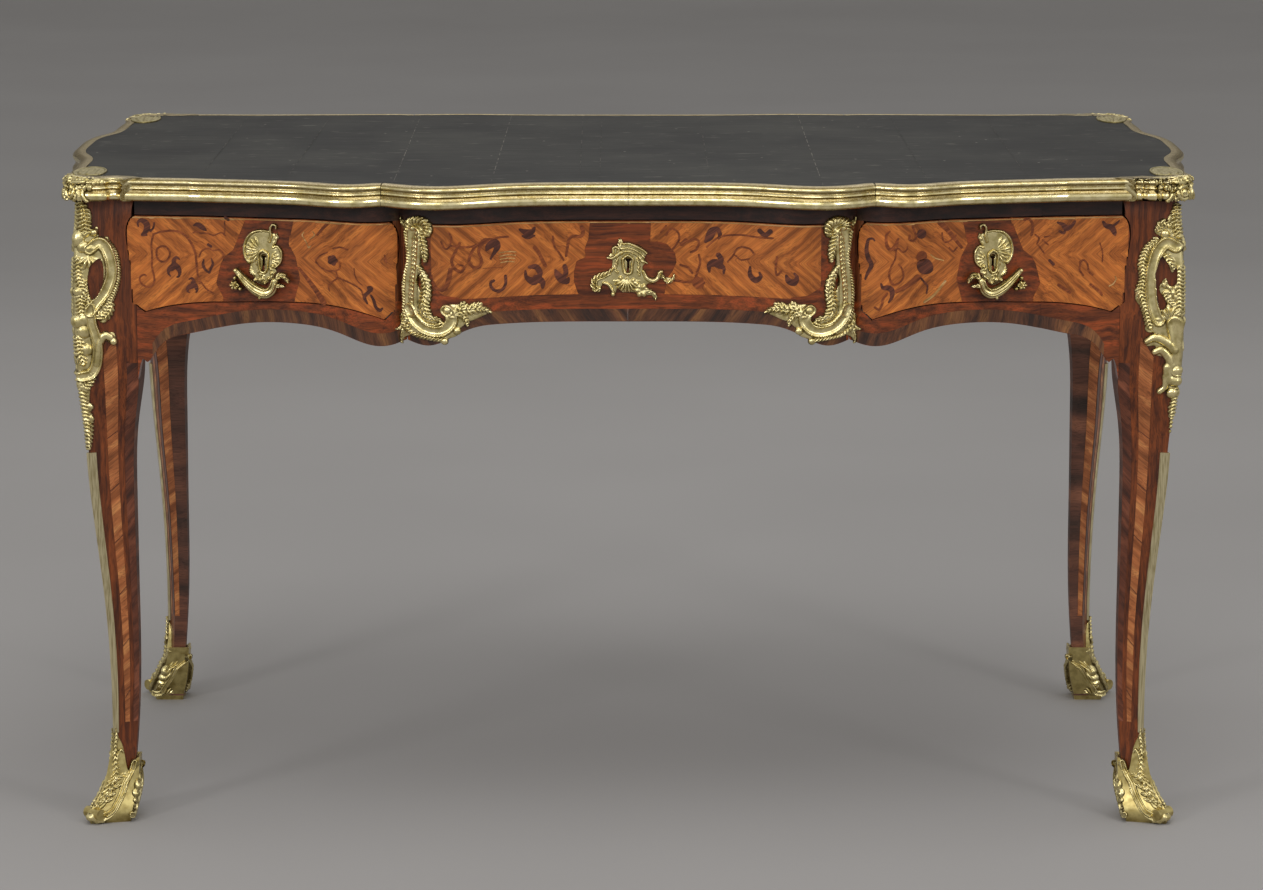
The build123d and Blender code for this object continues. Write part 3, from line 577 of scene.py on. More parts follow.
@dataclass
class Relief:
    """A casting or a veneer: strokes on a sheet, wrapped on a face as one mesh."""

    sheet: Sheet
    marks: Sequence
    step: float = 0.6
    edge: float = 0.8
    holes: Sequence = ()
    back: float | None = None
    rise: float = 0.0
    twin: bool = False
    within: "Silhouette | None" = None
    flat: tuple = ()

    FAR = -9.0  # distance inside where no mark is near
    ROUNDS = 6  # of averaging, to fill the hollows in
    DEPTH = 1.6  # mm below the filled surface at which a hollow's grime and painted shade are darkest
    EVEN = 0.25  # grime and painted shade of an even surface
    UNDER = 0.6  # painted shade on the underside, under a handle
    REACH = 1.4  # steps that an edge's points may be pulled by, to its line

    def fields(self) -> tuple[Array, Array, Array, Array]:
        """Draw the marks, one over another, on a grid.

        Returns:
            Grids of u, v, distance inside and height.
        """
        boxes = np.array([mark.box(self.sheet) for mark in self.marks])
        u0, v0 = boxes[:, [0, 2]].min(0)
        u1, v1 = boxes[:, [1, 3]].max(0)
        if self.twin:
            u0, u1 = -max(abs(u0), abs(u1)), max(abs(u0), abs(u1))
        u, v = np.meshgrid(np.arange(u0, u1, self.step), np.arange(v0, v1, self.step))
        across = np.abs(u) * self.sheet.hand if self.twin else u
        inside, height = np.full(u.shape, self.FAR), np.zeros(u.shape)
        for mark, (left, right, low, high) in zip(self.marks, boxes):
            near = (across > left) & (across < right) & (v > low) & (v < high)
            if not near.any():
                continue
            into, rise = mark.field(across[near], v[near], self.sheet)
            inside[near] = np.maximum(inside[near], into)
            height[near] = np.maximum(height[near], np.where(into > 0, rise + mark.lift, 0))
        for mark in self.holes:
            into, _ = mark.field(across.ravel(), v.ravel(), self.sheet)
            inside = np.minimum(inside, -into.reshape(u.shape))
        if self.within:
            inside = np.minimum(inside, self.within.inside(u.ravel(), v.ravel()).reshape(u.shape))
        return u, v, inside, height

    def build(self, name: str, face: Face) -> bpy.types.Object:
        """Wrap the drawing on a face.

        Args:
            name: the new object's name.
            face: what it lies on.

        Returns:
            The mesh object, with a point attribute that is high where a casting is cut deep, for its grime and painted
            shade.
        """
        u, v, inside, height = self.fields()
        kept = inside > 0
        height = np.where(kept, height, 0)
        slope_v, slope_u = np.gradient(inside, self.step)
        square = np.maximum(slope_u ** 2 + slope_v ** 2, 0.25)
        shift = np.where(kept, 0, np.clip(-inside, 0, self.step * self.REACH) / square)
        u, v = u + slope_u * shift, v + slope_v * shift
        cover = soften(kept.astype(float), self.ROUNDS)
        filled = soften(np.where(kept, height, 0), self.ROUNDS) / np.maximum(cover, 0.05)
        # depth under the filled surface, which darkens the gilt: grime and painted shade in the recesses
        hollow = np.clip((filled - height) / self.DEPTH + self.EVEN, 0, 1)
        cells = kept[:-1, :-1] | kept[1:, :-1] | kept[:-1, 1:] | kept[1:, 1:]
        rows, columns = np.nonzero(cells)
        wide = u.shape[1]
        first = rows * wide + columns
        quads = np.stack([first, first + 1, first + wide + 1, first + wide], 1)
        used, quads = np.unique(quads, return_inverse=True)
        quads = quads.reshape(-1, 4)
        rise = np.where(kept, height + self.edge, 0.0).ravel()[used] + self.rise
        flat_u, flat_v = u.ravel()[used], v.ravel()[used]
        points = face.place(flat_u, flat_v, rise)
        shade = hollow.ravel()[used]
        if self.back is not None:
            inner = np.nonzero(kept.ravel()[used])[0]
            behind = np.arange(len(used))
            behind[inner] = len(used) + np.arange(len(inner))
            under = face.place(flat_u[inner], flat_v[inner], np.full(len(inner), self.rise - self.back))
            points, shade = np.vstack([points, under]), np.concatenate([shade, np.full(len(inner), self.UNDER)])
            quads = np.vstack([quads, behind[quads][:, ::-1]])
        self.flat = (flat_u, flat_v)
        made = new_mesh(name, points, quads, face.outward(flat_u[:1], flat_v[:1])[0])
        store(made, "hollow", shade)
        return made


def store(piece: bpy.types.Object, name: str, values: Array) -> None:
    """Keep one number per point on a mesh."""
    piece.data.attributes.new(name, "FLOAT", "POINT").data.foreach_set("value", values.astype(np.float32))


def new_mesh(name: str, points: Array, quads: Array, outward: Array | None = None) -> bpy.types.Object:
    """Make a smooth mesh object.

    Args:
        name: the object's name.
        points: rows in millimetres.
        quads: rows of corner numbers, all of one length.
        outward: direction that the first faces look along, or None to keep the winding.

    Returns:
        The object, linked to the scene.
    """
    if outward is not None:
        some = quads[:: max(1, len(quads) // 400)]
        a, b, c = (points[some[:, n]] for n in (0, 1, 2))
        if np.cross(b - a, c - a)[: max(1, len(some) // 2)].sum(0) @ outward < 0:
            quads = quads[:, ::-1]
    mesh = bpy.data.meshes.new(name)
    mesh.from_pydata((points * MM).tolist(), [], quads.tolist())
    mesh.polygons.foreach_set("use_smooth", np.ones(len(mesh.polygons), bool))
    made = bpy.data.objects.new(name, mesh)
    bpy.context.scene.collection.objects.link(made)
    return made


def drape_uv(piece: bpy.types.Object, along: Array, across: Array) -> None:
    """Lay a map on a mesh, in metres: first along the grain, then across it.

    Args:
        piece: mesh object.
        along: millimetres along the grain, for every vertex.
        across: millimetres across the grain, for every vertex.
    """
    mesh = piece.data
    layer = mesh.uv_layers.new(name="grain")
    corners = np.zeros(len(mesh.loops), np.int32)
    mesh.loops.foreach_get("vertex_index", corners)
    pairs = np.stack([along, across], 1)[corners] * MM
    layer.data.foreach_set("uv", pairs.ravel().astype(np.float32))


# ---------------------------------------------------------------------------------------------- finishes
class Finish(ABC):
    """A finish of the desk: it makes its material once and dresses pieces with it."""

    label: str
    made: dict[str, bpy.types.Material] = {}

    @property
    def title(self) -> str:
        """Name of the material."""
        return self.label

    @abstractmethod
    def inputs(self, tree: bpy.types.NodeTree) -> dict:
        """Add the nodes of the pattern to a tree, and return values and nodes for the shader's inputs."""

    def material(self) -> bpy.types.Material:
        """Make the material when it is first asked for.

        Returns:
            The material.
        """
        if self.title not in self.made:
            made = bpy.data.materials.new(self.title)
            made.use_nodes = True
            tree = made.node_tree
            tree.nodes.clear()
            shader = add_node(tree, "ShaderNodeBsdfPrincipled", self.inputs(tree))
            add_node(tree, "ShaderNodeOutputMaterial", {"Surface": shader})
            self.made[self.title] = made
        return self.made[self.title]

    def dress(self, *pieces: bpy.types.Object) -> None:
        """Give the material to every slot of the pieces."""
        for piece in pieces:
            if not piece.data.materials:
                piece.data.materials.append(self.material())
            for number in range(len(piece.data.materials)):
                piece.data.materials[number] = self.material()


@dataclass(frozen=True)
class GiltBronze(Finish):
    """Cast bronze, chased and mercury gilt: burnished on the high parts, matt and grimy with painted shade where cut
    deep.
    """

    label: str
    bright: str = "F0E0A6"
    worn: str = "B4A468"
    # colour of the recesses: grime, and painted shade
    shade_and_grime: str = "4A3A1C"
    gloss: float = 0.2
    dull: float = 0.5

    def inputs(self, tree: bpy.types.NodeTree) -> dict:
        """Gold that turns dark brown with the depth of a recess, as grime and painted shade, worn in clouds of 9 mm.

        Args:
            tree: the material's node tree.

        Returns:
            Values and nodes for the shader's inputs.
        """
        where = add_node(tree, "ShaderNodeTexCoord").outputs["Object"]
        hollow = add_node(tree, "ShaderNodeAttribute", attribute_name="hollow").outputs["Fac"]
        patches = add_node(tree, "ShaderNodeTexNoise", {"Vector": where, "Scale": per_mm(9.0), "Detail": 4.0})
        specks = add_node(tree, "ShaderNodeTexNoise", {"Vector": where, "Scale": per_mm(1.3), "Detail": 2.0})
        wear = add_node(tree, "ShaderNodeMapRange", {"Value": patches, "From Min": 0.4, "From Max": 0.7})
        gold = add_node(tree, "ShaderNodeMix", {0: wear, 6: srgb(self.bright), 7: srgb(self.worn)}, data_type="RGBA")
        deep = add_node(tree, "ShaderNodeMapRange", {"Value": hollow, "From Min": 0.3, "From Max": 0.62})
        broken = add_node(tree, "ShaderNodeMapRange", {"Value": specks, "From Min": 0.3, "From Max": 0.6,
                                                       "To Min": 0.45})
        share = add_node(tree, "ShaderNodeMath", {0: deep, 1: broken}, operation="MULTIPLY")
        # grime and painted shade darken the gold in the recesses
        colour = add_node(tree, "ShaderNodeMix", {0: share, 6: gold, 7: srgb(self.shade_and_grime)}, data_type="RGBA")
        tired = add_node(tree, "ShaderNodeMath", {0: hollow, 1: patches}, operation="ADD")
        rough = add_node(tree, "ShaderNodeMapRange", {"Value": tired, "From Min": 0.3, "From Max": 1.5,
                                                      "To Min": self.gloss, "To Max": self.dull})
        relief = add_node(tree, "ShaderNodeBump", {"Height": specks, "Distance": 0.06 * MM, "Strength": 0.6})
        return {"Base Color": colour, "Metallic": 1.0, "Roughness": rough, "Normal": relief}


@dataclass(frozen=True)
class DrawnBrass(Finish):
    """Drawn brass strip or filed lock plate: fine lengthwise lines keep the shine long and narrow."""

    label: str
    colour: str
    shade: str
    along: tuple[float, float, float]

    def inputs(self, tree: bpy.types.NodeTree) -> dict:
        """Lines 1.5 mm apart; the real ones are finer and wouldn't show.

        Args:
            tree: the material's node tree.

        Returns:
            Values and nodes for the shader's inputs.
        """
        where = add_node(tree, "ShaderNodeTexCoord").outputs["Object"]
        drawn = add_node(tree, "ShaderNodeMapping", {"Vector": where, "Scale": self.along})
        lines = add_node(tree, "ShaderNodeTexNoise", {"Vector": drawn, "Scale": per_mm(1.5), "Detail": 3.0})
        colour = add_node(tree, "ShaderNodeValToRGB", {0: lines}, ((0.3, self.shade), (0.6, self.colour)))
        relief = add_node(tree, "ShaderNodeBump", {"Height": lines, "Distance": 0.05 * MM})
        return {"Base Color": colour, "Metallic": 1.0, "Roughness": 0.28, "Normal": relief}


class Grain(Enum):
    """Which way a veneer's grain runs: the factors squeeze the pattern along each axis."""

    MAPPED = ("UV", (1, 0, 0))
    LEVEL = ("Object", (1, 0, 0))
    UPRIGHT = ("Object", (0, 0, 1))
    DEEP = ("Object", (0, 1, 0))
    ACROSS = ("Object", (1, 1, 0))


@dataclass(frozen=True)
class Veneer(Finish):
    """Sawn veneer, scraped and French polished: stripes of early and late wood under a thin clear coat."""

    label: str
    light: str
    middle: str
    dark: str
    stripe: float
    grain: Grain = Grain.MAPPED
    coat: float = 0.18
    rough: float = 0.4

    STRETCH = 26.0  # how much longer than wide a stripe is
    PORE = 0.9  # mm; real pores are 0.2 mm and wouldn't show

    @property
    def title(self) -> str:
        """Name of the material."""
        return f"{self.label}_{self.grain.name.lower()}"

    def inputs(self, tree: bpy.types.NodeTree) -> dict:
        """Broad stripes, fine lines between them, short dark pores, and clouds of 45 mm from uneven polish.

        Args:
            tree: the material's node tree.

        Returns:
            Values and nodes for the shader's inputs.
        """
        source, axes = self.grain.value
        where = add_node(tree, "ShaderNodeTexCoord").outputs[source]
        along = [1 / self.STRETCH if axis else 1.0 for axis in axes]
        drawn = add_node(tree, "ShaderNodeMapping", {"Vector": where, "Scale": along})
        drift = add_node(tree, "ShaderNodeTexNoise", {"Vector": where, "Scale": per_mm(60.0), "Detail": 2.0})
        bend = add_node(tree, "ShaderNodeVectorMath", {0: drift, "Scale": 12 * MM}, operation="SCALE")
        bent = add_node(tree, "ShaderNodeVectorMath", {0: drawn, 1: bend}, operation="ADD")
        stripes = add_node(tree, "ShaderNodeTexNoise", {"Vector": bent, "Scale": per_mm(self.stripe), "Detail": 5.0})
        tones = ((0.34, self.dark), (0.5, self.middle), (0.64, self.light))
        wood = add_node(tree, "ShaderNodeValToRGB", {0: stripes}, tones)
        pores = add_node(tree, "ShaderNodeTexNoise", {"Vector": bent, "Scale": per_mm(self.PORE), "Detail": 2.0})
        pores = add_node(tree, "ShaderNodeValToRGB", {0: pores}, ((0.35, "B0B0B0"), (0.55, "FFFFFF")))
        wood = add_node(tree, "ShaderNodeMix", {0: 0.75, 6: wood, 7: pores}, data_type="RGBA", blend_type="MULTIPLY")
        clouds = add_node(tree, "ShaderNodeTexNoise", {"Vector": where, "Scale": per_mm(45.0), "Detail": 2.0})
        clouds = add_node(tree, "ShaderNodeValToRGB", {0: clouds}, ((0.3, "C4C4C4"), (0.7, "FFFFFF")))
        wood = add_node(tree, "ShaderNodeMix", {0: 0.8, 6: wood, 7: clouds}, data_type="RGBA", blend_type="MULTIPLY")
        relief = add_node(tree, "ShaderNodeBump", {"Height": stripes, "Distance": 0.05 * MM, "Strength": 0.5})
        return {"Base Color": wood, "Roughness": self.rough, "IOR": 1.5, "Specular IOR Level": 0.3,
                "Coat Weight": self.coat, "Coat Roughness": 0.16, "Normal": relief}


@dataclass(frozen=True)
class DeskLeather(Finish):
    """Goat skin, dyed black, rolled smooth and worn dry: streaks along the desk, scuffs and pale specks."""

    label: str = "black_goat_leather"
    ground: str = "302F2D"
    faded: str = "3E3D39"
    scuff: str = "8F8C80"

    def inputs(self, tree: bpy.types.NodeTree) -> dict:
        """Grain drawn 1.6 mm wide, since its real 0.5 mm wouldn't show.

        Args:
            tree: the material's node tree.

        Returns:
            Values and nodes for the shader's inputs.
        """
        where = add_node(tree, "ShaderNodeTexCoord").outputs["Object"]
        rolled = add_node(tree, "ShaderNodeMapping", {"Vector": where, "Scale": (0.05, 1, 1)})
        rubbed = add_node(tree, "ShaderNodeMapping", {"Vector": where, "Scale": (0.35, 1, 1)})
        streaks = add_node(tree, "ShaderNodeTexNoise", {"Vector": rolled, "Scale": per_mm(5.0), "Detail": 4.0})
        clouds = add_node(tree, "ShaderNodeTexNoise", {"Vector": where, "Scale": per_mm(120.0), "Detail": 3.0})
        scuffs = add_node(tree, "ShaderNodeTexNoise", {"Vector": rubbed, "Scale": per_mm(9.0), "Detail": 6.0})
        dots = add_node(tree, "ShaderNodeTexVoronoi", {"Vector": where, "Scale": per_mm(38.0)})
        pebble = add_node(tree, "ShaderNodeTexVoronoi", {"Vector": where, "Scale": per_mm(1.6)})
        faded = add_node(tree, "ShaderNodeMapRange", {"Value": clouds, "From Min": 0.35, "From Max": 0.7})
        base = add_node(tree, "ShaderNodeMix", {0: faded, 6: srgb(self.ground), 7: srgb(self.faded)}, data_type="RGBA")
        shade = add_node(tree, "ShaderNodeValToRGB", {0: streaks}, ((0.3, "B8B8B8"), (0.65, "FFFFFF")))
        base = add_node(tree, "ShaderNodeMix", {0: 0.7, 6: base, 7: shade}, data_type="RGBA", blend_type="MULTIPLY")
        worn = add_node(tree, "ShaderNodeMapRange", {"Value": scuffs, "From Min": 0.64, "From Max": 0.76,
                                                     "To Max": 0.3})
        fleck = add_node(tree, "ShaderNodeMapRange", {"Value": dots, "From Min": 0.05, "From Max": 0.03,
                                                      "To Max": 0.7})
        marks = add_node(tree, "ShaderNodeMath", {0: worn, 1: fleck}, operation="MAXIMUM")
        colour = add_node(tree, "ShaderNodeMix", {0: marks, 6: base, 7: srgb(self.scuff)}, data_type="RGBA")
        relief = add_node(tree, "ShaderNodeBump", {"Height": pebble, "Distance": 0.06 * MM, "Strength": 0.5})
        return {"Base Color": colour, "Roughness": 0.78, "IOR": 1.48, "Specular IOR Level": 0.2, "Normal": relief}


@dataclass(frozen=True)
class LeatherCrease(Finish):
    """Dry edge of a crease in the skin, rubbed down to the tan under the dye in broken stretches."""

    label: str
    colour: str
    share: float

    def inputs(self, tree: bpy.types.NodeTree) -> dict:
        """Rubbed stretches of 25 mm along the crease.

        Args:
            tree: the material's node tree.

        Returns:
            Values and nodes for the shader's inputs.
        """
        where = add_node(tree, "ShaderNodeTexCoord").outputs["Object"]
        breaks = add_node(tree, "ShaderNodeTexNoise", {"Vector": where, "Scale": per_mm(25.0), "Detail": 5.0})
        rubbed = add_node(tree, "ShaderNodeValToRGB", {0: breaks}, ((self.share, "2C2B29"),
                                                                    (self.share + 0.12, self.colour)))
        return {"Base Color": rubbed, "Roughness": 0.8, "IOR": 1.48, "Specular IOR Level": 0.2}


@dataclass(frozen=True)
class StudioPaper(Finish):
    """Matt background paper, rolled out as one sheet: it takes a soft shadow and shows no shine."""

    label: str = "background_paper"
    colour: str = "9B9896"
    shade: str = "979492"

    def inputs(self, tree: bpy.types.NodeTree) -> dict:
        """Even grey with a faint cloudiness.

        Args:
            tree: the material's node tree.

        Returns:
            Values and nodes for the shader's inputs.
        """
        where = add_node(tree, "ShaderNodeTexCoord").outputs["Object"]
        clouds = add_node(tree, "ShaderNodeTexNoise", {"Vector": where, "Scale": per_mm(900.0), "Detail": 2.0})
        colour = add_node(tree, "ShaderNodeValToRGB", {0: clouds}, ((0.3, self.shade), (0.7, self.colour)))
        return {"Base Color": colour, "Roughness": 0.9, "IOR": 1.45}


GILT = GiltBronze("mercury_gilt_bronze")
RIM_GILT = GiltBronze("burnished_gilt_bronze", "FFF0BC", "D2C286", "8A7440", 0.17, 0.32)
WORN_GILT = GiltBronze("worn_gilt_bronze", "A89C70", "8A7E54", "4A4026", 0.42, 0.6)
SHOE_GILT = GiltBronze("matt_gilt_bronze", "D2C080", "A08C54", "5A4A28", 0.3, 0.5)
STRIP_BRASS = DrawnBrass("drawn_brass", "E6DAB0", "A8976A", (1.0, 1.0, 0.04))
LOCK_BRASS = DrawnBrass("filed_lock_brass", "B79A52", "6B5628", (0.05, 1.0, 1.0))
AMARANTH = Veneer("amaranth", "A44C22", "82401C", "5A2A14", 6.0, Grain.LEVEL)
AMARANTH_UPRIGHT = Veneer("amaranth", "8E4820", "743A1A", "502614", 5.0, Grain.UPRIGHT)
# amaranth darkened to paint the shadow that the overhanging rim casts on the front rail
SHADED_RAIL_WOOD = Veneer("amaranth_with_painted_rim_shadow", "42241A", "341C15", "241410", 6.0, Grain.LEVEL)
BANDED_KINGWOOD = Veneer("banded_kingwood", "946048", "70493A", "48352C", 26.0, Grain.ACROSS, 0.0, 0.6)
EDGE_WOOD = Veneer("kingwood_edge", "90543A", "6E3C28", "4A2A1E", 10.0)
BAND_WOOD = Veneer("crossbanded_kingwood", "8E5E38", "6A422C", "3E2A22", 11.0)
TULIPWOOD = Veneer("tulipwood", "DE843A", "C67030", "985220", 7.0)
STRIPE_WOOD = Veneer("crosscut_tulipwood", "DC9256", "BC7040", "8C4E28", 9.0)
PALE_INLAY = Veneer("holly_inlay", "E0B074", "C89656", "A06C38", 3.0)
BROWN_INLAY = Veneer("satinwood_scorched_in_sand", "A4582C", "8E4822", "783A1A", 3.0)
DARK_INLAY = Veneer("stained_pearwood_inlay", "7A422E", "623426", "4E281C", 3.0)
OAK = Veneer("drawer_oak", "A88456", "8F6C43", "6E4F2F", 6.0, Grain.DEEP, 0.0, 0.6)
LEATHER = DeskLeather()
PALE_CREASE = LeatherCrease("crease_rubbed_to_tan", "77726A", 0.44)
DARK_CREASE = LeatherCrease("crease_in_the_leather", "55514B", 0.48)
PAPER = StudioPaper()


# ---------------------------------------------------------------------------------------------- shapes of veneers
@dataclass(frozen=True)
class Patch:
    """A piece of veneer, or the base plate of a casting: a closed outline of x and y, in squares of the sheet."""

    path: tuple[tuple[float, float], ...]
    smooth: bool = True
    height: float = 0.0
    lift: float = 0.0

    EASE = 3.0  # mm over which a base plate rises from its edge

    def outline(self, sheet: Sheet) -> Array:
        """Closed outline.

        Args:
            sheet: turns squares to millimetres.

        Returns:
            Points in millimetres, in order.
        """
        rows = sheet.path([(x, y, 0.0) for x, y in self.path])[:, :2]
        if self.smooth:
            rows = curve_through(np.vstack([rows, rows[:1]]), 2.0)[:-1]
        return rows

    def box(self, sheet: Sheet) -> Box:
        """Lowest and highest u and v near the piece."""
        return around(self.outline(sheet), 2)

    def field(self, u: Array, v: Array, sheet: Sheet) -> tuple[Array, Array]:
        """Distance inside the outline and height.

        Args:
            u: across, in millimetres.
            v: up, in millimetres.
            sheet: turns squares to millimetres.

        Returns:
            Distance inside (negative outside) and height, both in millimetres.
        """
        start = self.outline(sheet)
        stop = np.roll(start, -1, axis=0)
        best = np.full(len(u), 1e9)
        within = np.zeros(len(u), bool)
        for (x0, y0), (x1, y1) in zip(start, stop):
            dx, dy = x1 - x0, y1 - y0
            share = np.clip(((u - x0) * dx + (v - y0) * dy) / max(dx * dx + dy * dy, 1e-9), 0, 1)
            best = np.minimum(best, (u - x0 - share * dx) ** 2 + (v - y0 - share * dy) ** 2)
            if y0 != y1:
                crosses = ((y0 > v) != (y1 > v)) & (u < x0 + (v - y0) / (y1 - y0) * dx)
                within ^= crosses
        inside = np.where(within, 1, -1) * np.sqrt(best)
        return inside, self.height * np.sqrt(np.clip(inside / self.EASE, 0, 1))


class Silhouette:
    """Outline of a solid seen along the desk's depth (or its length, for an end), with a margin kept clear."""

    def __init__(self, node: str, margin: float = 0.3, axis: int = 0, step: float = 2.0) -> None:
        """Measure how low and how high a node reaches at each place along an axis.

        Args:
            node: the solid.
            margin: millimetres kept clear inside the outline.
            axis: 0 for x, 1 for y.
            step: millimetres between the places.
        """
        solid = Solid(node)
        low, high = solid.points[:, axis].min() + 0.4, solid.points[:, axis].max() - 0.4
        self.margin = margin
        self.places = np.arange(low, high, step)
        spans = [solid.slice(axis, place)[:, 2] for place in self.places]
        self.low = np.array([s.min() if len(s) else 0.0 for s in spans])
        self.high = np.array([s.max() if len(s) else 0.0 for s in spans])

    def floor(self, u: Array) -> Array:
        """Lower edge at each place."""
        return np.interp(u, self.places, self.low)

    def inside(self, u: Array, v: Array) -> Array:
        """Distance inside the silhouette, less its margin.

        Args:
            u: across, in millimetres.
            v: up, in millimetres.

        Returns:
            Millimetres, negative outside.
        """
        above = v - self.floor(u)
        below = np.interp(u, self.places, self.high) - v
        ends = np.minimum(u - self.places[0], self.places[-1] - u)
        return np.minimum(np.minimum(above, below), ends) - self.margin


@dataclass(frozen=True)
class Rail:
    """A band that follows the lower edge of a silhouette, from one height over it to another, between two ends."""

    edge: Silhouette
    low: float
    high: float
    start: float
    stop: float
    lift: float = 0.0

    def box(self, sheet: Sheet) -> Box:
        """Lowest and highest u and v near the band.

        Args:
            sheet: not used, since the band follows its edge.

        Returns:
            Lowest and highest u, then lowest and highest v.
        """
        places = self.edge.places[(self.edge.places >= self.start) & (self.edge.places <= self.stop)]
        floor = self.edge.floor(places)
        return self.start - 4, self.stop + 4, floor.min() + self.low - 4, floor.max() + self.high + 4

    def field(self, u: Array, v: Array, sheet: Sheet) -> tuple[Array, Array]:
        """Distance inside the band, and no height.

        Args:
            u: across, in millimetres.
            v: up, in millimetres.
            sheet: not used, since the band follows its edge.

        Returns:
            Distance inside (negative outside) and height, both in millimetres.
        """
        over = v - self.edge.floor(u)
        ends = np.minimum(u - self.start, self.stop - u)
        return np.minimum(np.minimum(over - self.low, self.high - over), ends), np.zeros(len(u))


PLAIN_SHEET = Sheet(0.0, 0.0, 1.0)


@dataclass
class Inlay:
    """Veneers of one wood, cut to shape and laid on a face."""

    marks: Sequence
    wood: Veneer
    sheet: Sheet = PLAIN_SHEET
    turn: float = 0.0
    fold: tuple[float, float] | None = None
    layer: int = 1
    within: Silhouette | None = None
    holes: Sequence = ()
    step: float = 1.5

    def build(self, name: str, face: Face) -> bpy.types.Object:
        """Cut the veneer, lay it on the face and turn its grain.

        Args:
            name: the new object's name.
            face: what it lies on.

        Returns:
            The mesh object. Its grain runs at the turn, in degrees, and folds about a point when one is given.
        """
        relief = Relief(self.sheet, self.marks, step=self.step, edge=0.0, holes=self.holes,
                        rise=LIFT * self.layer, within=self.within)
        piece = relief.build(name, face)
        u, v = relief.flat
        if self.fold:
            u, v = np.abs(u - self.fold[0]), np.abs(v - self.fold[1])
        angle = math.radians(self.turn)
        drape_uv(piece, u * math.cos(angle) + v * math.sin(angle), v * math.cos(angle) - u * math.sin(angle))
        self.wood.dress(piece)
        return piece

    def lay(self, name: str, face: Face, body: str = "root") -> None:
        """Build the veneer and put it on its body."""
        ride_and_report(self.build(name, face), body, "kingwood_veneer")


# ---------------------------------------------------------------------------------------------- moulded edges
class EdgeFace(Face):
    """A moulded edge: u runs along a plan curve and v up round a profile of (height, inset) points."""

    SHARP = math.radians(50)  # a turn over this keeps its line
    GROOVE = 1.2  # mm that a groove is deep where its painted shade and grime are darkest
    END_DIP = 0.3  # painted shade and grime at the profile's first and last point

    def __init__(self, path: Array, base: float, profile: Sequence[tuple[float, float]], outward: Array) -> None:
        """Keep the curve, its normals and the profile's girth.

        Args:
            path: plan points in millimetres, in order.
            base: z of the profile's height 0.
            profile: rows of height over the base and inset from the curve.
            outward: rough plan direction away from the desk at each point of the path.
        """
        self.path = path
        self.run = np.concatenate([[0], np.cumsum(np.linalg.norm(np.diff(path, axis=0), axis=1))])
        tangent = np.gradient(path, axis=0)
        normal = np.stack([tangent[:, 1], -tangent[:, 0]], 1)
        normal /= np.linalg.norm(normal, axis=1)[:, None]
        normal *= np.sign((normal * outward).sum(1))[:, None]
        self.normal = normal
        self.base = base
        rows = np.array(profile, float)
        self.profile = rows
        self.girth = np.concatenate([[0], np.cumsum(np.linalg.norm(np.diff(rows, axis=0), axis=1))])

    def ground(self, u: Array, v: Array) -> Array:
        """Points of the moulding.

        Args:
            u: along the plan curve, in millimetres.
            v: up round the profile, in millimetres.

        Returns:
            Points in millimetres.
        """
        flat = np.stack([np.interp(u, self.run, self.path[:, a]) for a in (0, 1)], 1)
        out = np.stack([np.interp(u, self.run, self.normal[:, a]) for a in (0, 1)], 1)
        height = np.interp(v, self.girth, self.profile[:, 0])
        inset = np.interp(v, self.girth, self.profile[:, 1])
        flat = flat - out * inset[:, None]
        return np.stack([flat[:, 0], flat[:, 1], self.base + height], 1)

    def outward(self, u: Array, v: Array) -> Array:
        """Out and up."""
        out = np.stack([np.interp(u, self.run, self.normal[:, a]) for a in (0, 1)], 1)
        return np.stack([out[:, 0], out[:, 1], np.full(len(u), 0.8)], 1)

    def sweep(self, name: str, spans: Sequence[tuple[float, float]], step: float = 3.0) -> bpy.types.Object:
        """The moulding itself as a closed mesh over stretches of its run.

        Args:
            name: the new object's name.
            spans: first and last place of each stretch, in millimetres along the path.
            step: distance between sections.

        Returns:
            The mesh object, with a point attribute high where the profile turns in, which paints shade and grime into
            the grooves.
        """
        count = len(self.profile)
        rows, quads = [], []
        ring = np.arange(count)[None, :]
        following = (ring + 1) % count
        for start, stop in spans:
            places = np.linspace(start, stop, max(3, int((stop - start) / step)))
            base = ((len(rows) + np.arange(len(places) - 1)) * count)[:, None]
            quads.append(np.stack([base + ring, base + following, base + count + following, base + count + ring], 2))
            rows += [self.ground(np.full(count, place), self.girth) for place in places]
        points = np.vstack(rows)
        quads = np.vstack([part.reshape(-1, 4) for part in quads])
        inset = self.profile[:, 1]
        # grooves of the profile get painted shade and grime
        dip = np.clip((inset - np.minimum(np.roll(inset, 1), np.roll(inset, -1))) / self.GROOVE, 0, 1)
        dip[[0, -1]] = self.END_DIP
        made = new_mesh(name, points, quads)
        mesh = made.data
        store(made, "hollow", np.tile(dip, len(rows)))
        bm = bmesh.new()
        bm.from_mesh(mesh)
        ends = [edge for edge in bm.edges if edge.is_boundary]
        bmesh.ops.holes_fill(bm, edges=ends, sides=0)
        bmesh.ops.recalc_face_normals(bm, faces=bm.faces)
        bm.to_mesh(mesh)
        bm.free()
        mesh.set_sharp_from_angle(angle=self.SHARP)
        return made


def outer_curve(node: str, level: float, centre: tuple[float, float], count: int = 160) -> Array:
    """Outer line of a node cut at a level.

    Args:
        node: the solid.
        level: z of the cut.
        centre: plan point that the line is seen from.
        count: steps that the line's angle is split in.

    Returns:
        Plan points in order of angle.
    """
    cut = Solid(node).slice(2, level)[:, :2] - centre
    angle, reach = np.arctan2(cut[:, 1], cut[:, 0]), np.hypot(cut[:, 0], cut[:, 1])
    bins = np.round((angle - angle.min()) / (np.ptp(angle) / count)).astype(int)
    picks = [np.nonzero(bins == b)[0][np.argmax(reach[bins == b])] for b in np.unique(bins)]
    return cut[picks] + centre


# ---------------------------------------------------------------------------------------------- drawings of castings
ROUND, FLAT, BAND, LEAF, ROPE = Cut


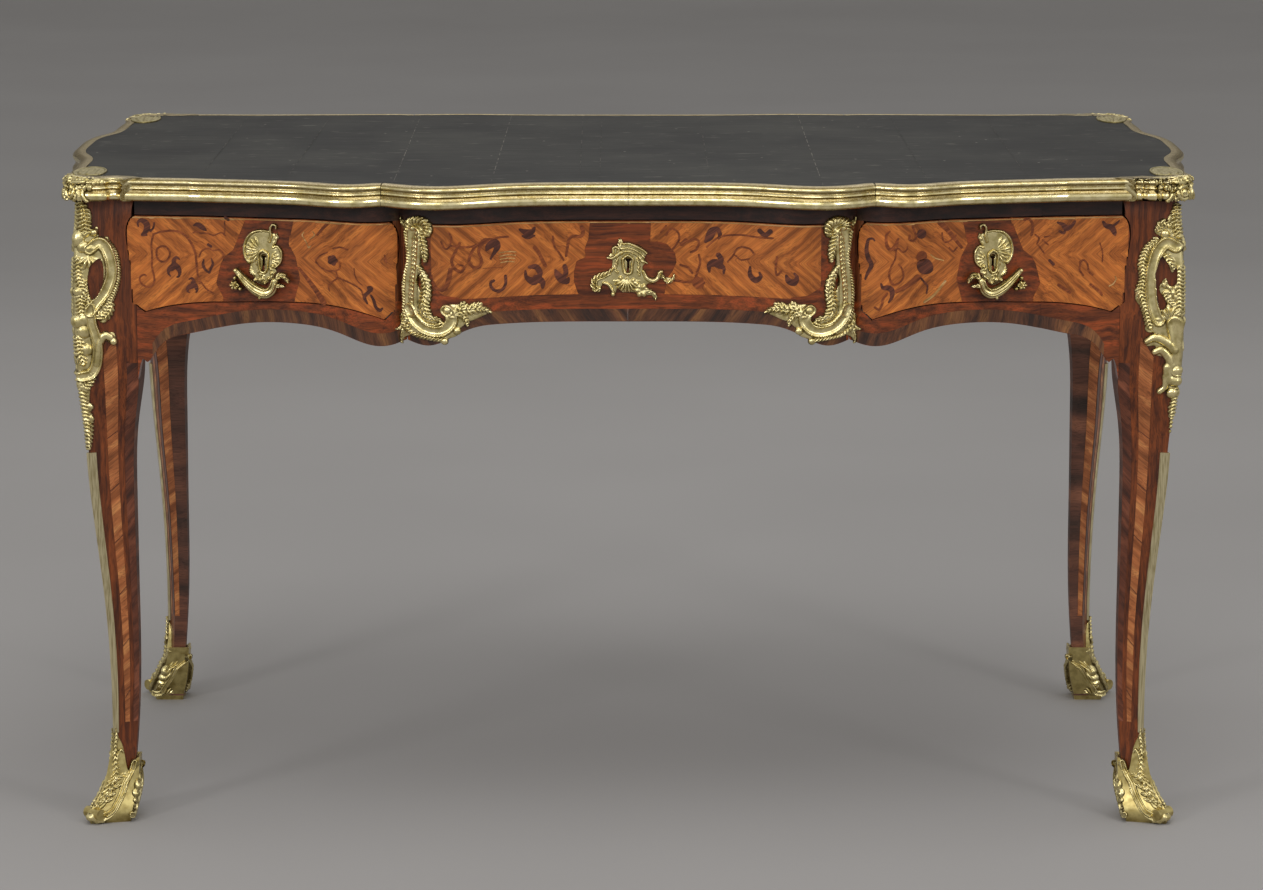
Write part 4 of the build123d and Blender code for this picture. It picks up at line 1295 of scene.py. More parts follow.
def stroke(cut: Cut, height: float, widths: Sequence[float], *numbers: float, pitch: float = 4.0) -> Stroke:
    """Draw a stroke.

    Args:
        cut: how it is modelled.
        height: over the ground, in millimetres.
        widths: half widths in squares, spread evenly over its points.
        numbers: x and y of each point in turn, in squares.
        pitch: distance between its ribs.

    Returns:
        The stroke.
    """
    x, y = numbers[::2], numbers[1::2]
    half = np.interp(np.linspace(0, 1, len(x)), np.linspace(0, 1, len(widths)), widths)
    return Stroke(cut, height, tuple(zip(x, y, half.tolist())), pitch)


def vine(widths: Sequence[float], *numbers: float) -> Stroke:
    """Flat stroke of veneer: half widths, then x and y of each point in turn."""
    return stroke(FLAT, 0, widths, *numbers)


def plate(height: float, *numbers: float) -> Patch:
    """Base plate of a casting: x and y of each corner in turn."""
    return Patch(tuple(zip(numbers[::2], numbers[1::2])), height=height)


def beads(height: float, *numbers: float) -> list[Stroke]:
    """Round bosses: x, y and radius of each in turn."""
    return [Stroke(ROUND, height, (row,)) for row in zip(numbers[::3], numbers[1::3], numbers[2::3])]


def side_plate() -> tuple[list, list]:
    """Rocaille escutcheon of a side drawer.

    Returns:
        Marks and keyhole.
    """
    marks = [
        plate(1.4, 86, 26, 72, 25, 57, 28, 45, 38, 39, 54, 39, 66, 42, 80, 50, 85, 48, 92, 48, 102, 56, 108, 56, 114,
              66, 120, 76, 122, 84, 114, 92, 108, 96, 98, 95, 92, 104, 85, 107, 70, 106, 58, 100, 52, 92, 54, 98, 45,
              99, 34, 92, 30),
        stroke(ROUND, 4.2, (2, 2.4, 2.6, 2.6, 2.6, 2.6, 3, 4.4), 86, 27, 72, 26, 57, 29, 46, 39, 40.5, 54, 40.5, 67,
               44, 76, 48, 81),
        Fan(3.6, 70, 62, 28, 9, 95, 262, 0.4), Fan(3.2, 84, 76, 20, 6, -60, 70, 0.4),
        stroke(ROUND, 4.0, (2.4,), 91, 55, 99, 53, 105, 61, 106, 72, 103, 82, 95, 90),
        stroke(ROUND, 5.4, (2.6,), 74, 60, 82, 67, 81, 82, 79, 95, 74, 99, 68, 95, 66, 82, 66, 67, 74, 60),
        stroke(ROUND, 4.4, (3.2, 2.6, 2), 85, 44, 88, 34, 87, 26, 88, 19, 92, 15, 97, 17, 97, 22),
        stroke(LEAF, 3.2, (2, 5, 2), 98, 31, 96, 40, 91, 49, pitch=5), Fan(3.6, 56, 97, 9, 5, 120, 300, 0.6),
        *beads(4.0, 58, 113, 3, 67, 112, 4.6, 76, 118, 3.4, 83, 110, 3.4, 88, 100, 3.6, 90, 88, 3.6, 92, 72, 3.4),
        stroke(LEAF, 4.2, (3, 6, 4), 64, 96, 70, 104, 74, 114, pitch=5),
        stroke(LEAF, 3.6, (3, 5, 3), 86, 92, 90, 100, 86, 110, pitch=5),
    ]
    return marks, [*beads(1, 74, 71, 4.2), stroke(ROUND, 1, (1.9,), 74, 71, 74, 84, 73, 94)]


def crescent_pull() -> list:
    """Crescent handle with flowers, cast in the round.

    Returns:
        Marks.
    """
    return [
        stroke(ROUND, 5.0, (5, 9, 6), 30, 97, 46, 116, 62, 130, 79, 135, 92, 128, 97, 112),
        stroke(ROUND, 7.4, (1.4, 2.6, 1.8), 34, 103, 50, 121, 65, 132, 80, 137, 93, 130, 99, 116),
        stroke(ROUND, 6.8, (1.2, 2.2, 1.4), 33, 95, 50, 111, 65, 122, 79, 127, 88, 122, 93, 111),
        *beads(6.4, 28, 95, 4.8, 27, 108, 3.6), Fan(6.2, 25, 121, 9.5, 6), *beads(7.0, 25, 121, 3),
        *beads(5.6, 36, 127, 3.8, 70, 142, 3.4),
        stroke(LEAF, 5.6, (3.5, 6, 3), 97, 117, 101, 107, 108, 101, 115, 105, 121, 113, pitch=6),
        stroke(LEAF, 5.0, (2, 4, 1.6), 98, 122, 106, 120, 114, 121, pitch=5),
    ]


def centre_plate() -> tuple[list, list]:
    """Rocaille escutcheon of the centre drawer.

    Returns:
        Marks and keyhole.
    """
    marks = [
        plate(1.4, 66, 20, 80, 21, 95, 27, 104, 37, 99, 46, 104, 52, 98, 56, 97, 64, 104, 73, 113, 76, 121, 70, 122,
              64, 128, 66, 130, 74, 140, 76, 146, 72, 146, 79, 138, 84, 131, 82, 126, 78, 114, 86, 104, 86, 106, 95,
              114, 98, 119, 106, 116, 112, 110, 104, 98, 106, 90, 106, 84, 100, 76, 99, 66, 100, 57, 94, 55, 100, 50,
              104, 46, 102, 49, 94, 44, 87, 34, 86, 32, 93, 28, 99, 20, 96, 16, 87, 19, 77, 28, 71, 40, 69, 47, 62,
              49, 50, 47, 46, 40, 45, 46, 38, 50, 28, 58, 27, 58, 15, 63, 14),
        stroke(ROUND, 4.2, (2.2,), 66, 22, 76, 22, 86, 26, 97, 32, 103, 37),
        stroke(ROUND, 3.6, (1.8,), 63, 30, 73, 28.5, 84, 32, 94, 38, 99, 44),
        stroke(ROUND, 3.2, (1.6,), 60, 37, 72, 34, 82, 37, 91, 43, 95, 50),
        stroke(ROUND, 4.4, (3.4, 2.6, 2), 63, 36, 55, 41, 48, 45, 41, 44),
        stroke(ROUND, 4.4, (2.6,), 50, 36, 50, 30, 54, 27, 59, 30, 58, 35),
        stroke(LEAF, 3.8, (4, 3, 1.4), 62, 28, 60, 21, 61, 15, pitch=5),
        stroke(ROUND, 3.6, (3, 2.2, 1.4), 97, 50, 100, 51, 104, 53),
        stroke(ROUND, 5.0, (2.4,), 73, 40, 81, 46, 80, 56, 78, 68, 69, 68, 66, 56, 66, 46, 73, 40),
        stroke(ROPE, 3.8, (2.4,), 57, 46, 56, 54, 54, 62, 57, 68),
        stroke(ROPE, 3.8, (2.4,), 88, 46, 91, 56, 90, 64, 92, 72),
        stroke(ROPE, 4.8, (3, 3.6, 4.4, 4.4, 4.2, 3.6, 3), 49, 62, 42, 68, 30, 72, 21, 78, 18, 88, 22, 96, 28, 96,
               pitch=5),
        stroke(ROUND, 4.0, (1.4,), 46, 70, 35, 76, 26, 80, 24, 88, 27, 92), *beads(5.0, 29, 93, 3.6),
        stroke(ROUND, 4.0, (2.6, 2.8, 2.2), 36, 84, 43, 87, 48, 94, 51, 101), *beads(4.4, 50, 102, 4.4),
        stroke(ROUND, 4.6, (3, 4.2, 2.6), 98, 66, 103, 76, 112, 81, 120, 77, 123, 68, 127, 66),
        stroke(ROPE, 4.2, (2.4, 3.8, 1.6), 128, 72, 133, 81, 139, 82, 145, 77, 146, 71),
        Fan(4.6, 72, 78, 22, 9, 185, 355, 0.8), Fan(4.0, 95, 96, 12, 6, 0, 360, 0.5),
        stroke(LEAF, 3.8, (4, 3, 1.6), 103, 97, 111, 99, 117, 104, 117, 111, pitch=5),
        *beads(4.2, 62, 76, 3.6, 82, 80, 3.6, 88, 86, 3), stroke(LEAF, 4.2, (2, 4, 2), 73, 70, 72, 80, 72, 92),
    ]
    return marks, [*beads(1, 74, 47, 3.9), stroke(ROUND, 1, (1.7,), 74, 47, 74, 58, 73, 66)]


def scroll_frame() -> tuple[list, list]:
    """L-shaped frame at a lower corner of the centre drawer.

    Returns:
        Marks and piercing.
    """
    marks = [
        plate(1.2, 11, 13, 18, 17, 24, 13, 33, 11, 41, 15, 42, 24, 39, 28, 38, 40, 41, 50, 38, 57, 34, 52, 33, 64, 38,
              70, 42, 80, 43, 95, 41, 105, 44, 114, 52, 117, 58, 119, 60, 112, 56, 107, 60, 101, 70, 101, 76, 98, 79,
              103, 88, 103, 93, 101, 95, 106, 103, 106, 105, 111, 98, 114, 88, 118, 82, 120, 74, 126, 70, 134, 60,
              138, 58, 143, 52, 142, 45, 139, 30, 137, 20, 137, 13, 141, 12, 147, 8, 144, 9, 134, 6, 131, 9, 125, 9,
              116, 13, 110, 13, 95, 14, 80, 17, 65, 19, 55, 17, 40, 16, 28, 12, 24),
        stroke(ROPE, 5.6, (2.8,), 17.5, 27, 19, 38, 20.5, 50, 20, 60, 17.5, 72, 15.5, 85, 15.5, 100, 15.5, 112, 18,
               121, pitch=3.4),
        stroke(BAND, 4.6, (7.5, 7, 6.5, 6.5, 6.5, 6), 27, 27, 26.5, 45, 25.5, 62, 23.5, 80, 22.5, 98, 24, 112),
        stroke(LEAF, 4.4, (4.6, 4.8, 4.6, 4.2, 4.2, 3), 28, 32, 27, 46, 26, 62, 24, 80, 23, 98, 24, 110, pitch=5),
        stroke(ROPE, 6.2, (5.0,), 20, 24, 22, 17, 30, 14, 38, 16, 41, 22, 40, 27), *beads(5.8, 25.5, 22.5, 3),
        stroke(LEAF, 5.8, (5, 5.5, 2.4), 31, 26, 35, 38, 37, 48, 38, 56, pitch=4.5),
        stroke(LEAF, 4.4, (3, 2.4, 1.4), 20, 22, 15, 20, 12, 17, 11, 13),
        stroke(LEAF, 5.8, (2, 4.5, 6, 6.5, 6.5, 6, 3), 31, 62, 35, 71, 38, 80, 38, 92, 36, 102, 38, 111, 43, 115,
               pitch=5),
        stroke(ROPE, 5.0, (2.2,), 32, 63, 37, 71, 41, 81, 42, 93),
        stroke(BAND, 5.6, (6.5,), 22, 108, 27, 119, 36, 127, 48, 130, 58, 127, 64, 119, 63, 111, 59, 107),
        stroke(ROUND, 5.6, (1.6,), 30, 114, 38, 121, 48, 123, 55, 120), *beads(6.2, 60, 107, 4.4),
        stroke(LEAF, 5.4, (8, 7, 2), 64, 113, 74, 108, 86, 107, 96, 107, 104, 111, pitch=5),
        stroke(LEAF, 5.0, (4, 4, 2), 70, 110, 74, 103, 77, 99), stroke(LEAF, 4.8, (4, 4, 2), 84, 108, 88, 103, 94, 101),
        stroke(LEAF, 5.0, (4, 4, 2), 74, 112, 79, 118, 80, 123),
        stroke(LEAF, 5.0, (3, 3, 2), 42, 116, 50, 117, 56, 121),
        stroke(ROPE, 4.8, (2.6,), 10, 118, 15, 128, 26, 135, 40, 137.5, 56, 139), *beads(4.6, 70, 129, 4.4, 57, 140, 4),
        stroke(LEAF, 4.4, (4, 3, 1.4), 22, 125, 14, 130, 10, 138, 10, 145),
        stroke(LEAF, 3.6, (2.6, 2, 1), 12, 126, 8, 130, 4, 131, pitch=3),
    ]
    return marks, [stroke(ROUND, 1, (0.6, 1.6, 0.6), 31, 72, 31, 79, 32, 88)]


def corner_cast_a() -> tuple[list, list]:
    """Corner mount with the C-scroll at its shoulder.

    Returns:
        Marks and piercing, with x 0 on the leg's arris.
    """
    drawn = [
        plate(1.2, 12, 27, 18, 33, 19, 41, 22, 40, 24, 46, 29, 49, 33.5, 56, 34.5, 66, 33, 74, 32.5, 82, 30, 87, 25,
              86, 24.6, 92, 27, 93, 33, 92.5, 34.5, 97, 32, 99, 29, 97, 27, 104, 26, 110, 21, 117, 19.5, 126, 19.6,
              134, 19, 145, 18.6, 152, 15, 150, 13, 120, 10, 113, 10, 90, 12, 70, 12, 50),
        stroke(LEAF, 5.4, (1.3, 3.4, 4, 4), 12.5, 28, 14, 32, 15, 37, 16, 43, pitch=4.4),
        *beads(5.4, 12, 46, 4.4, 16, 50, 3.2, 20.6, 43, 2.2, 19.5, 51, 2.8),
        stroke(BAND, 6.0, (3.3,), 19.5, 51, 24, 48, 28, 51, 31, 58, 31.5, 65, 29, 72, 25, 77, 21, 82),
        stroke(LEAF, 4.8, (2.2,), 27, 47, 32, 53, 34.2, 60, 34.4, 67, 32, 75, 29, 80, pitch=3.0),
        Fan(5.0, 19, 54, 8, 5, 200, 340, 0.5),
        stroke(LEAF, 4.8, (2.2, 3, 3.4), 14, 56, 15, 66, 17, 72, 16, 76, 17, 84, pitch=4.4),
        stroke(LEAF, 5.0, (1.9, 3.5, 1.4), 18, 67, 21, 71, 20, 77, pitch=3.6),
        stroke(LEAF, 5.0, (1.4, 2.7, 3, 2), 30, 74, 31.5, 80, 28, 85, 24.5, 83, pitch=4.4),
        stroke(BAND, 5.8, (3.0,), 21, 80, 22, 88, 24, 94, 25, 100, 24, 108, 21, 113, 16, 114.5),
        *beads(5.0, 14.5, 87, 3.4, 18, 86, 3.4, 18, 92, 3.6, 15, 72, 2.6, 19.5, 101, 3.2, 33, 97, 2.2),
        stroke(ROUND, 4.8, (2.1,), 24, 108, 26, 98, 28.5, 94, 31.5, 95),
        stroke(LEAF, 4.8, (2.6, 4, 2.6), 15, 95, 16, 103, 17, 108, pitch=4.4),
        stroke(LEAF, 4.8, (1.4, 4, 3.4, 2.6), 15, 117, 16, 119, 19, 117, 22, 113, pitch=4.4),
        stroke(LEAF, 4.6, (3.2, 3.8, 3.9, 3.7, 1.6), 15.6, 119, 16, 128, 17, 136, 17.4, 143, 18, 151, pitch=4.6),
        *beads(3.8, 19.4, 130, 2, 19.6, 136, 1.9),
    ]
    eye = [Patch(((20, 60), (25, 56), (27.5, 63), (26, 72), (22, 76), (19.5, 68)))]
    leg = ((28, 60, 100, 116, 153), (11.6, 12.3, 14, 14.5, 18.1), 1, 27.8, 2.376 / 2.27)
    return from_arris(drawn, *leg), from_arris(eye, *leg)


def corner_cast_b() -> tuple[list, list]:
    """Corner mount with the large C-band and fringe.

    Returns:
        Marks and piercing, with x 0 on the leg's arris.
    """
    drawn = [
        plate(1.2, 36.5, 10, 33, 14, 29, 20, 24, 21, 22, 26, 25, 29, 20, 31, 15, 34, 12, 40, 10.5, 47, 12, 53, 8.5,
              58, 8, 64, 11, 69, 13, 76, 16, 82, 20, 84, 14, 87, 15, 91, 20, 91, 19, 96, 24, 97, 28, 102, 26, 107, 26,
              112, 23, 116, 25, 118, 29, 116, 30, 121, 32, 126, 30, 131, 32, 137, 33, 146, 34, 152, 38, 152, 37, 120,
              37.5, 60, 37.5, 15),
        stroke(LEAF, 5.4, (1.6, 3.5, 4, 4), 35.6, 11, 35.4, 16, 35, 22, 36, 28, pitch=4.4),
        stroke(LEAF, 4.6, (2.1, 2.9, 2.9), 24, 25, 27, 21, 31, 22, pitch=4.4), *beads(4.8, 28, 27, 2.9),
        stroke(BAND, 6.0, (3.8,), 33, 34, 28, 32, 23, 36, 20, 42, 18, 50, 17.5, 58, 18, 66, 20, 73, 22, 76),
        stroke(LEAF, 4.6, (2.7, 2.7, 3.4, 3, 4, 3.2, 3, 3.4), 22, 31, 16, 36, 13, 44, 13, 52, 11.5, 60, 13, 66, 15, 73,
               17, 80, pitch=4.4),
        stroke(LEAF, 5.0, (2, 4, 1.6), 25, 38, 28, 42, 31, 46, pitch=4.4),
        Fan(4.8, 23.5, 53, 5.6, 6), Fan(4.8, 30, 60, 5.6, 6), *beads(5.6, 23.5, 53, 2, 30, 60, 2),
        stroke(LEAF, 4.6, (2.1, 3.4, 1.9), 25, 60, 27, 64, 31, 68, pitch=3.6),
        stroke(LEAF, 4.8, (2.9, 3.4, 2.9), 34, 46, 33.4, 54, 33.6, 66, 33, 72, pitch=4.4),
        Fan(5.0, 28, 76, 10, 7, 20, 200, 0.4),
        stroke(ROUND, 5.6, (2, 2.4, 2.7, 2.9, 2.7), 15, 88, 19, 86, 24, 87, 29, 90, 31, 93),
        stroke(ROUND, 5.0, (2.1, 2.4, 2.7, 2.9), 20, 94, 24, 93, 28, 97, 30, 102),
        stroke(BAND, 5.0, (5.2, 5.2, 4.6, 5.2), 31, 78, 33, 86, 34, 95, 34, 104),
        stroke(ROUND, 5.8, (3.1,), 28, 103, 29, 109, 33, 111, 37, 109, 38, 104),
        *beads(5.4, 33, 105, 3.2, 31, 118, 3.4), stroke(ROUND, 4.8, (2.1,), 27, 108, 27, 114, 24, 117),
        stroke(LEAF, 5.0, (2.7, 3.4, 3.4, 2), 35, 112, 34, 120, 32, 127, 31, 131, pitch=4.4),
        stroke(LEAF, 4.6, (2.4, 3.2, 3.4, 2.8, 1.8), 34, 125, 33, 133, 33, 140, 35, 146, 37, 152, pitch=4.6),
    ]
    eye = [Patch(((20, 50), (24, 40), (27, 43), (30, 49), (32.5, 46), (32, 55), (28, 56), (26, 52), (22, 58), (26, 66),
                  (24, 70), (21, 66)))]
    leg = ((9, 110, 153), (36.9, 34.1, 28.6), -1, 8.7, 2.069 / 2.0)
    return from_arris(drawn, *leg), from_arris(eye, *leg)


def sabot_cast() -> list:
    """Marks of a foot: an acanthus leaf over the arris, a band round the shoe and the toe's volutes.

    Returns:
        Marks, with x 0 on the leg's arris.
    """
    drawn = [
        stroke(LEAF, 4.0, (1.5, 3.5, 4, 4), 38, 17, 39, 28, 38, 40, 40, 50, pitch=5),
        stroke(ROUND, 4.2, (2,), 42, 60, 44, 50, 47, 46, 50, 50),
        stroke(LEAF, 5.0, (4, 5.5, 7.5, 8, 8, 8, 8), 38, 50, 40, 62, 43, 75, 45, 85, 42, 98, 38, 108, 32, 118, pitch=6),
        stroke(LEAF, 4.4, (3, 6, 4), 46, 90, 53, 84, 60, 79), stroke(LEAF, 4.4, (4, 4.4, 2), 46, 99, 52, 97, 58, 95),
        stroke(LEAF, 4.4, (5, 4.6, 2), 40, 108, 46, 107, 52, 106),
        stroke(LEAF, 4.2, (4, 4, 2), 34, 116, 41, 115, 48, 113),
        stroke(BAND, 5.0, (5, 5.4, 5.6, 6, 6, 6, 6), 68, 66, 66, 80, 64, 95, 61, 108, 54, 120, 46, 128, 36, 133, 22,
               138),
        stroke(ROUND, 5.8, (1.6,), 70, 64, 69, 80, 67, 94, 63, 108, 56, 120, 47, 129, 36, 134),
        stroke(ROUND, 4.8, (4, 5, 5.4), 30, 140, 22, 139, 16, 134),
        *beads(5.4, 28, 138, 5, 24, 131, 5.4, 14, 135, 5), Fan(5.2, 28, 119, 6, 6),
        stroke(BAND, 5.4, (4.6,), 72, 134, 84, 130, 94, 116, 100, 96, 102, 74), Fan(5.4, 86, 140, 18, 6, 20, 160),
        stroke(LEAF, 5.0, (8, 11, 4), 88, 118, 87, 98, 84, 76, pitch=9),
    ]
    return from_arris(drawn, (20, 60, 90, 105, 115, 125, 135), (34, 34.5, 35, 30, 25, 17, 12), 1, 0.0, 0.86 / 0.84)


def from_arris(marks: Sequence, heights: Sequence[float], arris: Sequence[float], hand: int, top: float,
               stretch: float) -> list:
    """Redraw marks so that x is measured from the leg's arris and y from the drawing's top.

    Args:
        marks: strokes, fans and plates as drawn.
        heights: y values at which the arris was read.
        arris: x of the arris there.
        hand: 1 keeps the drawing's hand, -1 turns it.
        top: y that becomes 0.
        stretch: how much taller than wide a square is.

    Returns:
        The new marks.
    """
    def moved(x: float, y: float) -> tuple[float, float]:
        """Place of one point."""
        return float(hand * (x - np.interp(y, heights, arris))), float((y - top) * stretch)

    made = []
    for mark in marks:
        if isinstance(mark, Fan):
            x, y = moved(mark.x, mark.y)
            start, stop = (mark.start, mark.stop) if hand > 0 else (180 - mark.stop, 180 - mark.start)
            made.append(replace(mark, x=x, y=y, start=start, stop=stop))
        else:
            made.append(replace(mark, path=tuple((*moved(x, y), *rest) for x, y, *rest in mark.path)))
    return made


class Level(Face):
    """A level face at a height: u is x and v is y."""

    def __init__(self, z: float) -> None:
        """Keep the height, in millimetres."""
        self.z = z

    def ground(self, u: Array, v: Array) -> Array:
        """Points of the face."""
        return np.stack([u, v, np.full(len(u), self.z)], 1)

    def outward(self, u: Array, v: Array) -> Array:
        """Straight up."""
        return np.tile([0.0, 0.0, 1.0], (len(u), 1))


def ride_and_report(piece: bpy.types.Object, body: str, slot: str, *nodes: str) -> bpy.types.Object:
    """Put a piece on its body, hide the nodes that it stands for, and log it.

    Args:
        piece: mesh object.
        body: the body that it rides.
        slot: name of its material slot; not used.
        nodes: solids that it stands for.

    Returns:
        The piece.
    """
    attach(piece, body)
    if nodes:
        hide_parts(*nodes)
    log.info("%s: %d faces on %s", piece.name, len(piece.data.polygons), body)
    return piece


def fix_casting(relief: Relief, name: str, face: Face, body: str, *nodes: str, finish: Finish = GILT) -> None:
    """Model a casting on a face, finish it and put it on its body.

    Args:
        relief: the casting's drawing.
        name: the new object's name.
        face: what it is fixed to.
        body: the body that it rides.
        nodes: solids that it stands for.
        finish: how it is gilt.
    """
    piece = relief.build(name, face)
    finish.dress(piece)
    ride_and_report(piece, body, "gilt_bronze", *nodes)


FRIEZE_LEVEL = 745.0  # z at which the curves of the front and the back are measured
SIDES = (("left", -1), ("right", 1))
CORNERS = (("front_left", -1, -1), ("front_right", 1, -1), ("back_left", -1, 1), ("back_right", 1, 1))


# ---------------------------------------------------------------------------------------------- the desk's top
@dataclass
class DeskTop:
    """Leather, moulded rim and cast corner clasps."""

    level: float = 754.0
    leather_level: float = 780.0
    shift: float = 33.5
    arm_x: float = 588.0
    arm_y: float = 278.0
    cusp_x: float = 284.0
    seam: float = 0.25
    rim_level: float = 757.1
    leather_thick: float = 1.6
    sink: float = 0.16  # mm that the leather's face lies under its level
    wave: float = 0.12  # mm that its waves are high
    carving_top: float = 46.0  # mm up round a clasp's profile at which its drawing starts

    RIM = (
        (0.2, 3.4), (0.6, 2.0), (1.8, 0.9), (3.6, 0.2), (5.6, 0.0), (7.8, 0.3), (9.8, 1.1), (11.6, 2.3), (13.0, 3.7),
        (13.8, 4.6), (14.2, 3.2), (15.0, 2.6), (15.9, 2.9), (17.2, 3.8), (18.6, 4.1), (19.8, 3.5), (20.8, 2.2),
        (22.0, 1.6), (23.4, 2.1), (24.8, 4.2), (25.8, 7.4), (26.5, 12.0), (26.4, 15.5), (26.0, 16.9), (20.0, 16.9),
        (0.2, 16.9),
    )
    SIDE_RIM = (
        (0.2, 3.0), (1.4, 0.9), (3.4, 0.1), (6.0, 0.6), (8.4, 2.6), (11.0, 4.2), (14.0, 4.4), (16.6, 2.6),
        (19.4, 1.0), (22.0, 1.4), (24.2, 3.6), (25.8, 7.0), (26.6, 11.0), (26.5, 14.5), (26.0, 16.9), (20.0, 16.9),
        (0.2, 16.9),
    )
    CLASP = (
        (0.2, 5.4), (0.6, 3.0), (1.8, 1.4), (3.6, 0.6), (5.6, 0.4), (7.8, 0.7), (9.8, 1.5), (11.6, 2.7), (13.0, 4.0),
        (13.8, 4.8), (14.2, 3.4), (15.0, 2.8), (15.9, 3.1), (17.2, 4.0), (18.6, 4.3), (19.8, 3.7), (20.8, 2.5),
        (22.0, 2.0), (23.4, 2.6), (24.8, 4.8), (25.8, 7.8), (26.5, 11.0), (26.9, 17.0), (26.8, 23.0), (26.3, 28.0),
        (26.1, 20.0), (0.2, 20.0),
    )
    CREASES = (
        (-499, DARK_CREASE), (-394, DARK_CREASE), (-272, PALE_CREASE), (-156, PALE_CREASE), (-58, DARK_CREASE),
        (-34, DARK_CREASE), (94, DARK_CREASE), (223, PALE_CREASE), (345, DARK_CREASE), (466, DARK_CREASE),
    )

    def leather(self) -> None:
        """The writing leather, with the slight waves of a skin glued by hand, its edge turned down to the board."""
        solid = Solid("leather_top")
        end = solid.points[:, 0].max()
        columns = np.sin(np.linspace(-math.pi / 2, math.pi / 2, 241)) * (end - 0.02)
        spans = np.array([[s[:, 1].min(), s[:, 1].max()] for s in (solid.slice(0, x) for x in columns)])
        share = (1 - np.cos(np.linspace(0, math.pi, 70))) / 2
        x = np.repeat(columns, len(share))
        y = (spans[:, :1] + (spans[:, 1:] - spans[:, :1]) * share).ravel()
        wave = self.wave * np.sin(x / 41 + np.sin(y / 57) * 1.3) * np.sin(y / 33 + x / 170)
        z = self.leather_level - self.sink + wave
        points = np.stack([x, y, z], 1)
        count = len(share)
        first = (np.arange(len(columns) - 1)[:, None] * count + np.arange(count - 1)[None, :]).ravel()
        quads = np.stack([first, first + count, first + count + 1, first + 1], 1)
        rim = np.concatenate([
            np.arange(count), np.arange(1, len(columns)) * count + count - 1,
            (len(columns) - 1) * count + np.arange(count - 2, -1, -1), np.arange(len(columns) - 2, 0, -1) * count,
        ])
        below = points[rim] - [0, 0, self.leather_thick - 0.2]
        lower = len(points) + np.arange(len(rim))
        skirt = np.stack([rim, lower, np.roll(lower, -1), np.roll(rim, -1)], 1)
        points, quads = np.vstack([points, below]), np.vstack([quads, skirt])
        piece = new_mesh("writing_leather", points, quads, np.array([0, 0, 1.0]))
        LEATHER.dress(piece)
        ride_and_report(piece, "root", "writing_leather", "leather_top")

    def creases(self) -> None:
        """Creases across the leather's depth, each with its dry edge."""
        solid = Solid("leather_top")
        for number, (x, finish) in enumerate(self.CREASES):
            cut = solid.slice(0, x)[:, 1]
            low, high = cut.min() + 8, cut.max() - 8
            lean = 2 * math.sin(x)
            line = stroke(FLAT, 0, (0.25, 0.55, 0.4, 0.25), x - lean, -low, x, -(low + high) / 2, x + lean, -high)
            relief = Relief(PLAIN_SHEET, [line], step=0.5, edge=0.0, rise=0.2)
            piece = relief.build(f"leather_crease_{number}", Level(self.leather_level))
            finish.dress(piece)
            ride_and_report(piece, "root", "writing_leather")

    def moulding(self, name: str, node: str, axis: int, side: int, profile: tuple, cuts: Sequence[float]) -> None:
        """One side of the rim, in sections with hairline seams.

        Args:
            name: the new object's name.
            node: the solid that it stands for.
            axis: 0 for the long sides, 1 for the short ones.
            side: -1 or 1.
            profile: height and inset of the section's points.
            cuts: places along the axis where sections meet.
        """
        grid = np.arange(cuts[0], cuts[-1] + 0.5, 1.0)
        out = outer_line(node, self.rim_level, axis, side, grid, 4)
        path = np.stack([grid, out] if axis == 0 else [out, grid], 1)
        away = np.tile([0.0, side] if axis == 0 else [side, 0.0], (len(grid), 1))
        edge = EdgeFace(path, self.level, profile, away)
        marks = np.interp(cuts, grid, edge.run)
        spans = [(a + self.seam, b - self.seam) for a, b in zip(marks, marks[1:])]
        piece = edge.sweep(name, spans)
        RIM_GILT.dress(piece)
        ride_and_report(piece, "root", "gilt_bronze", node)

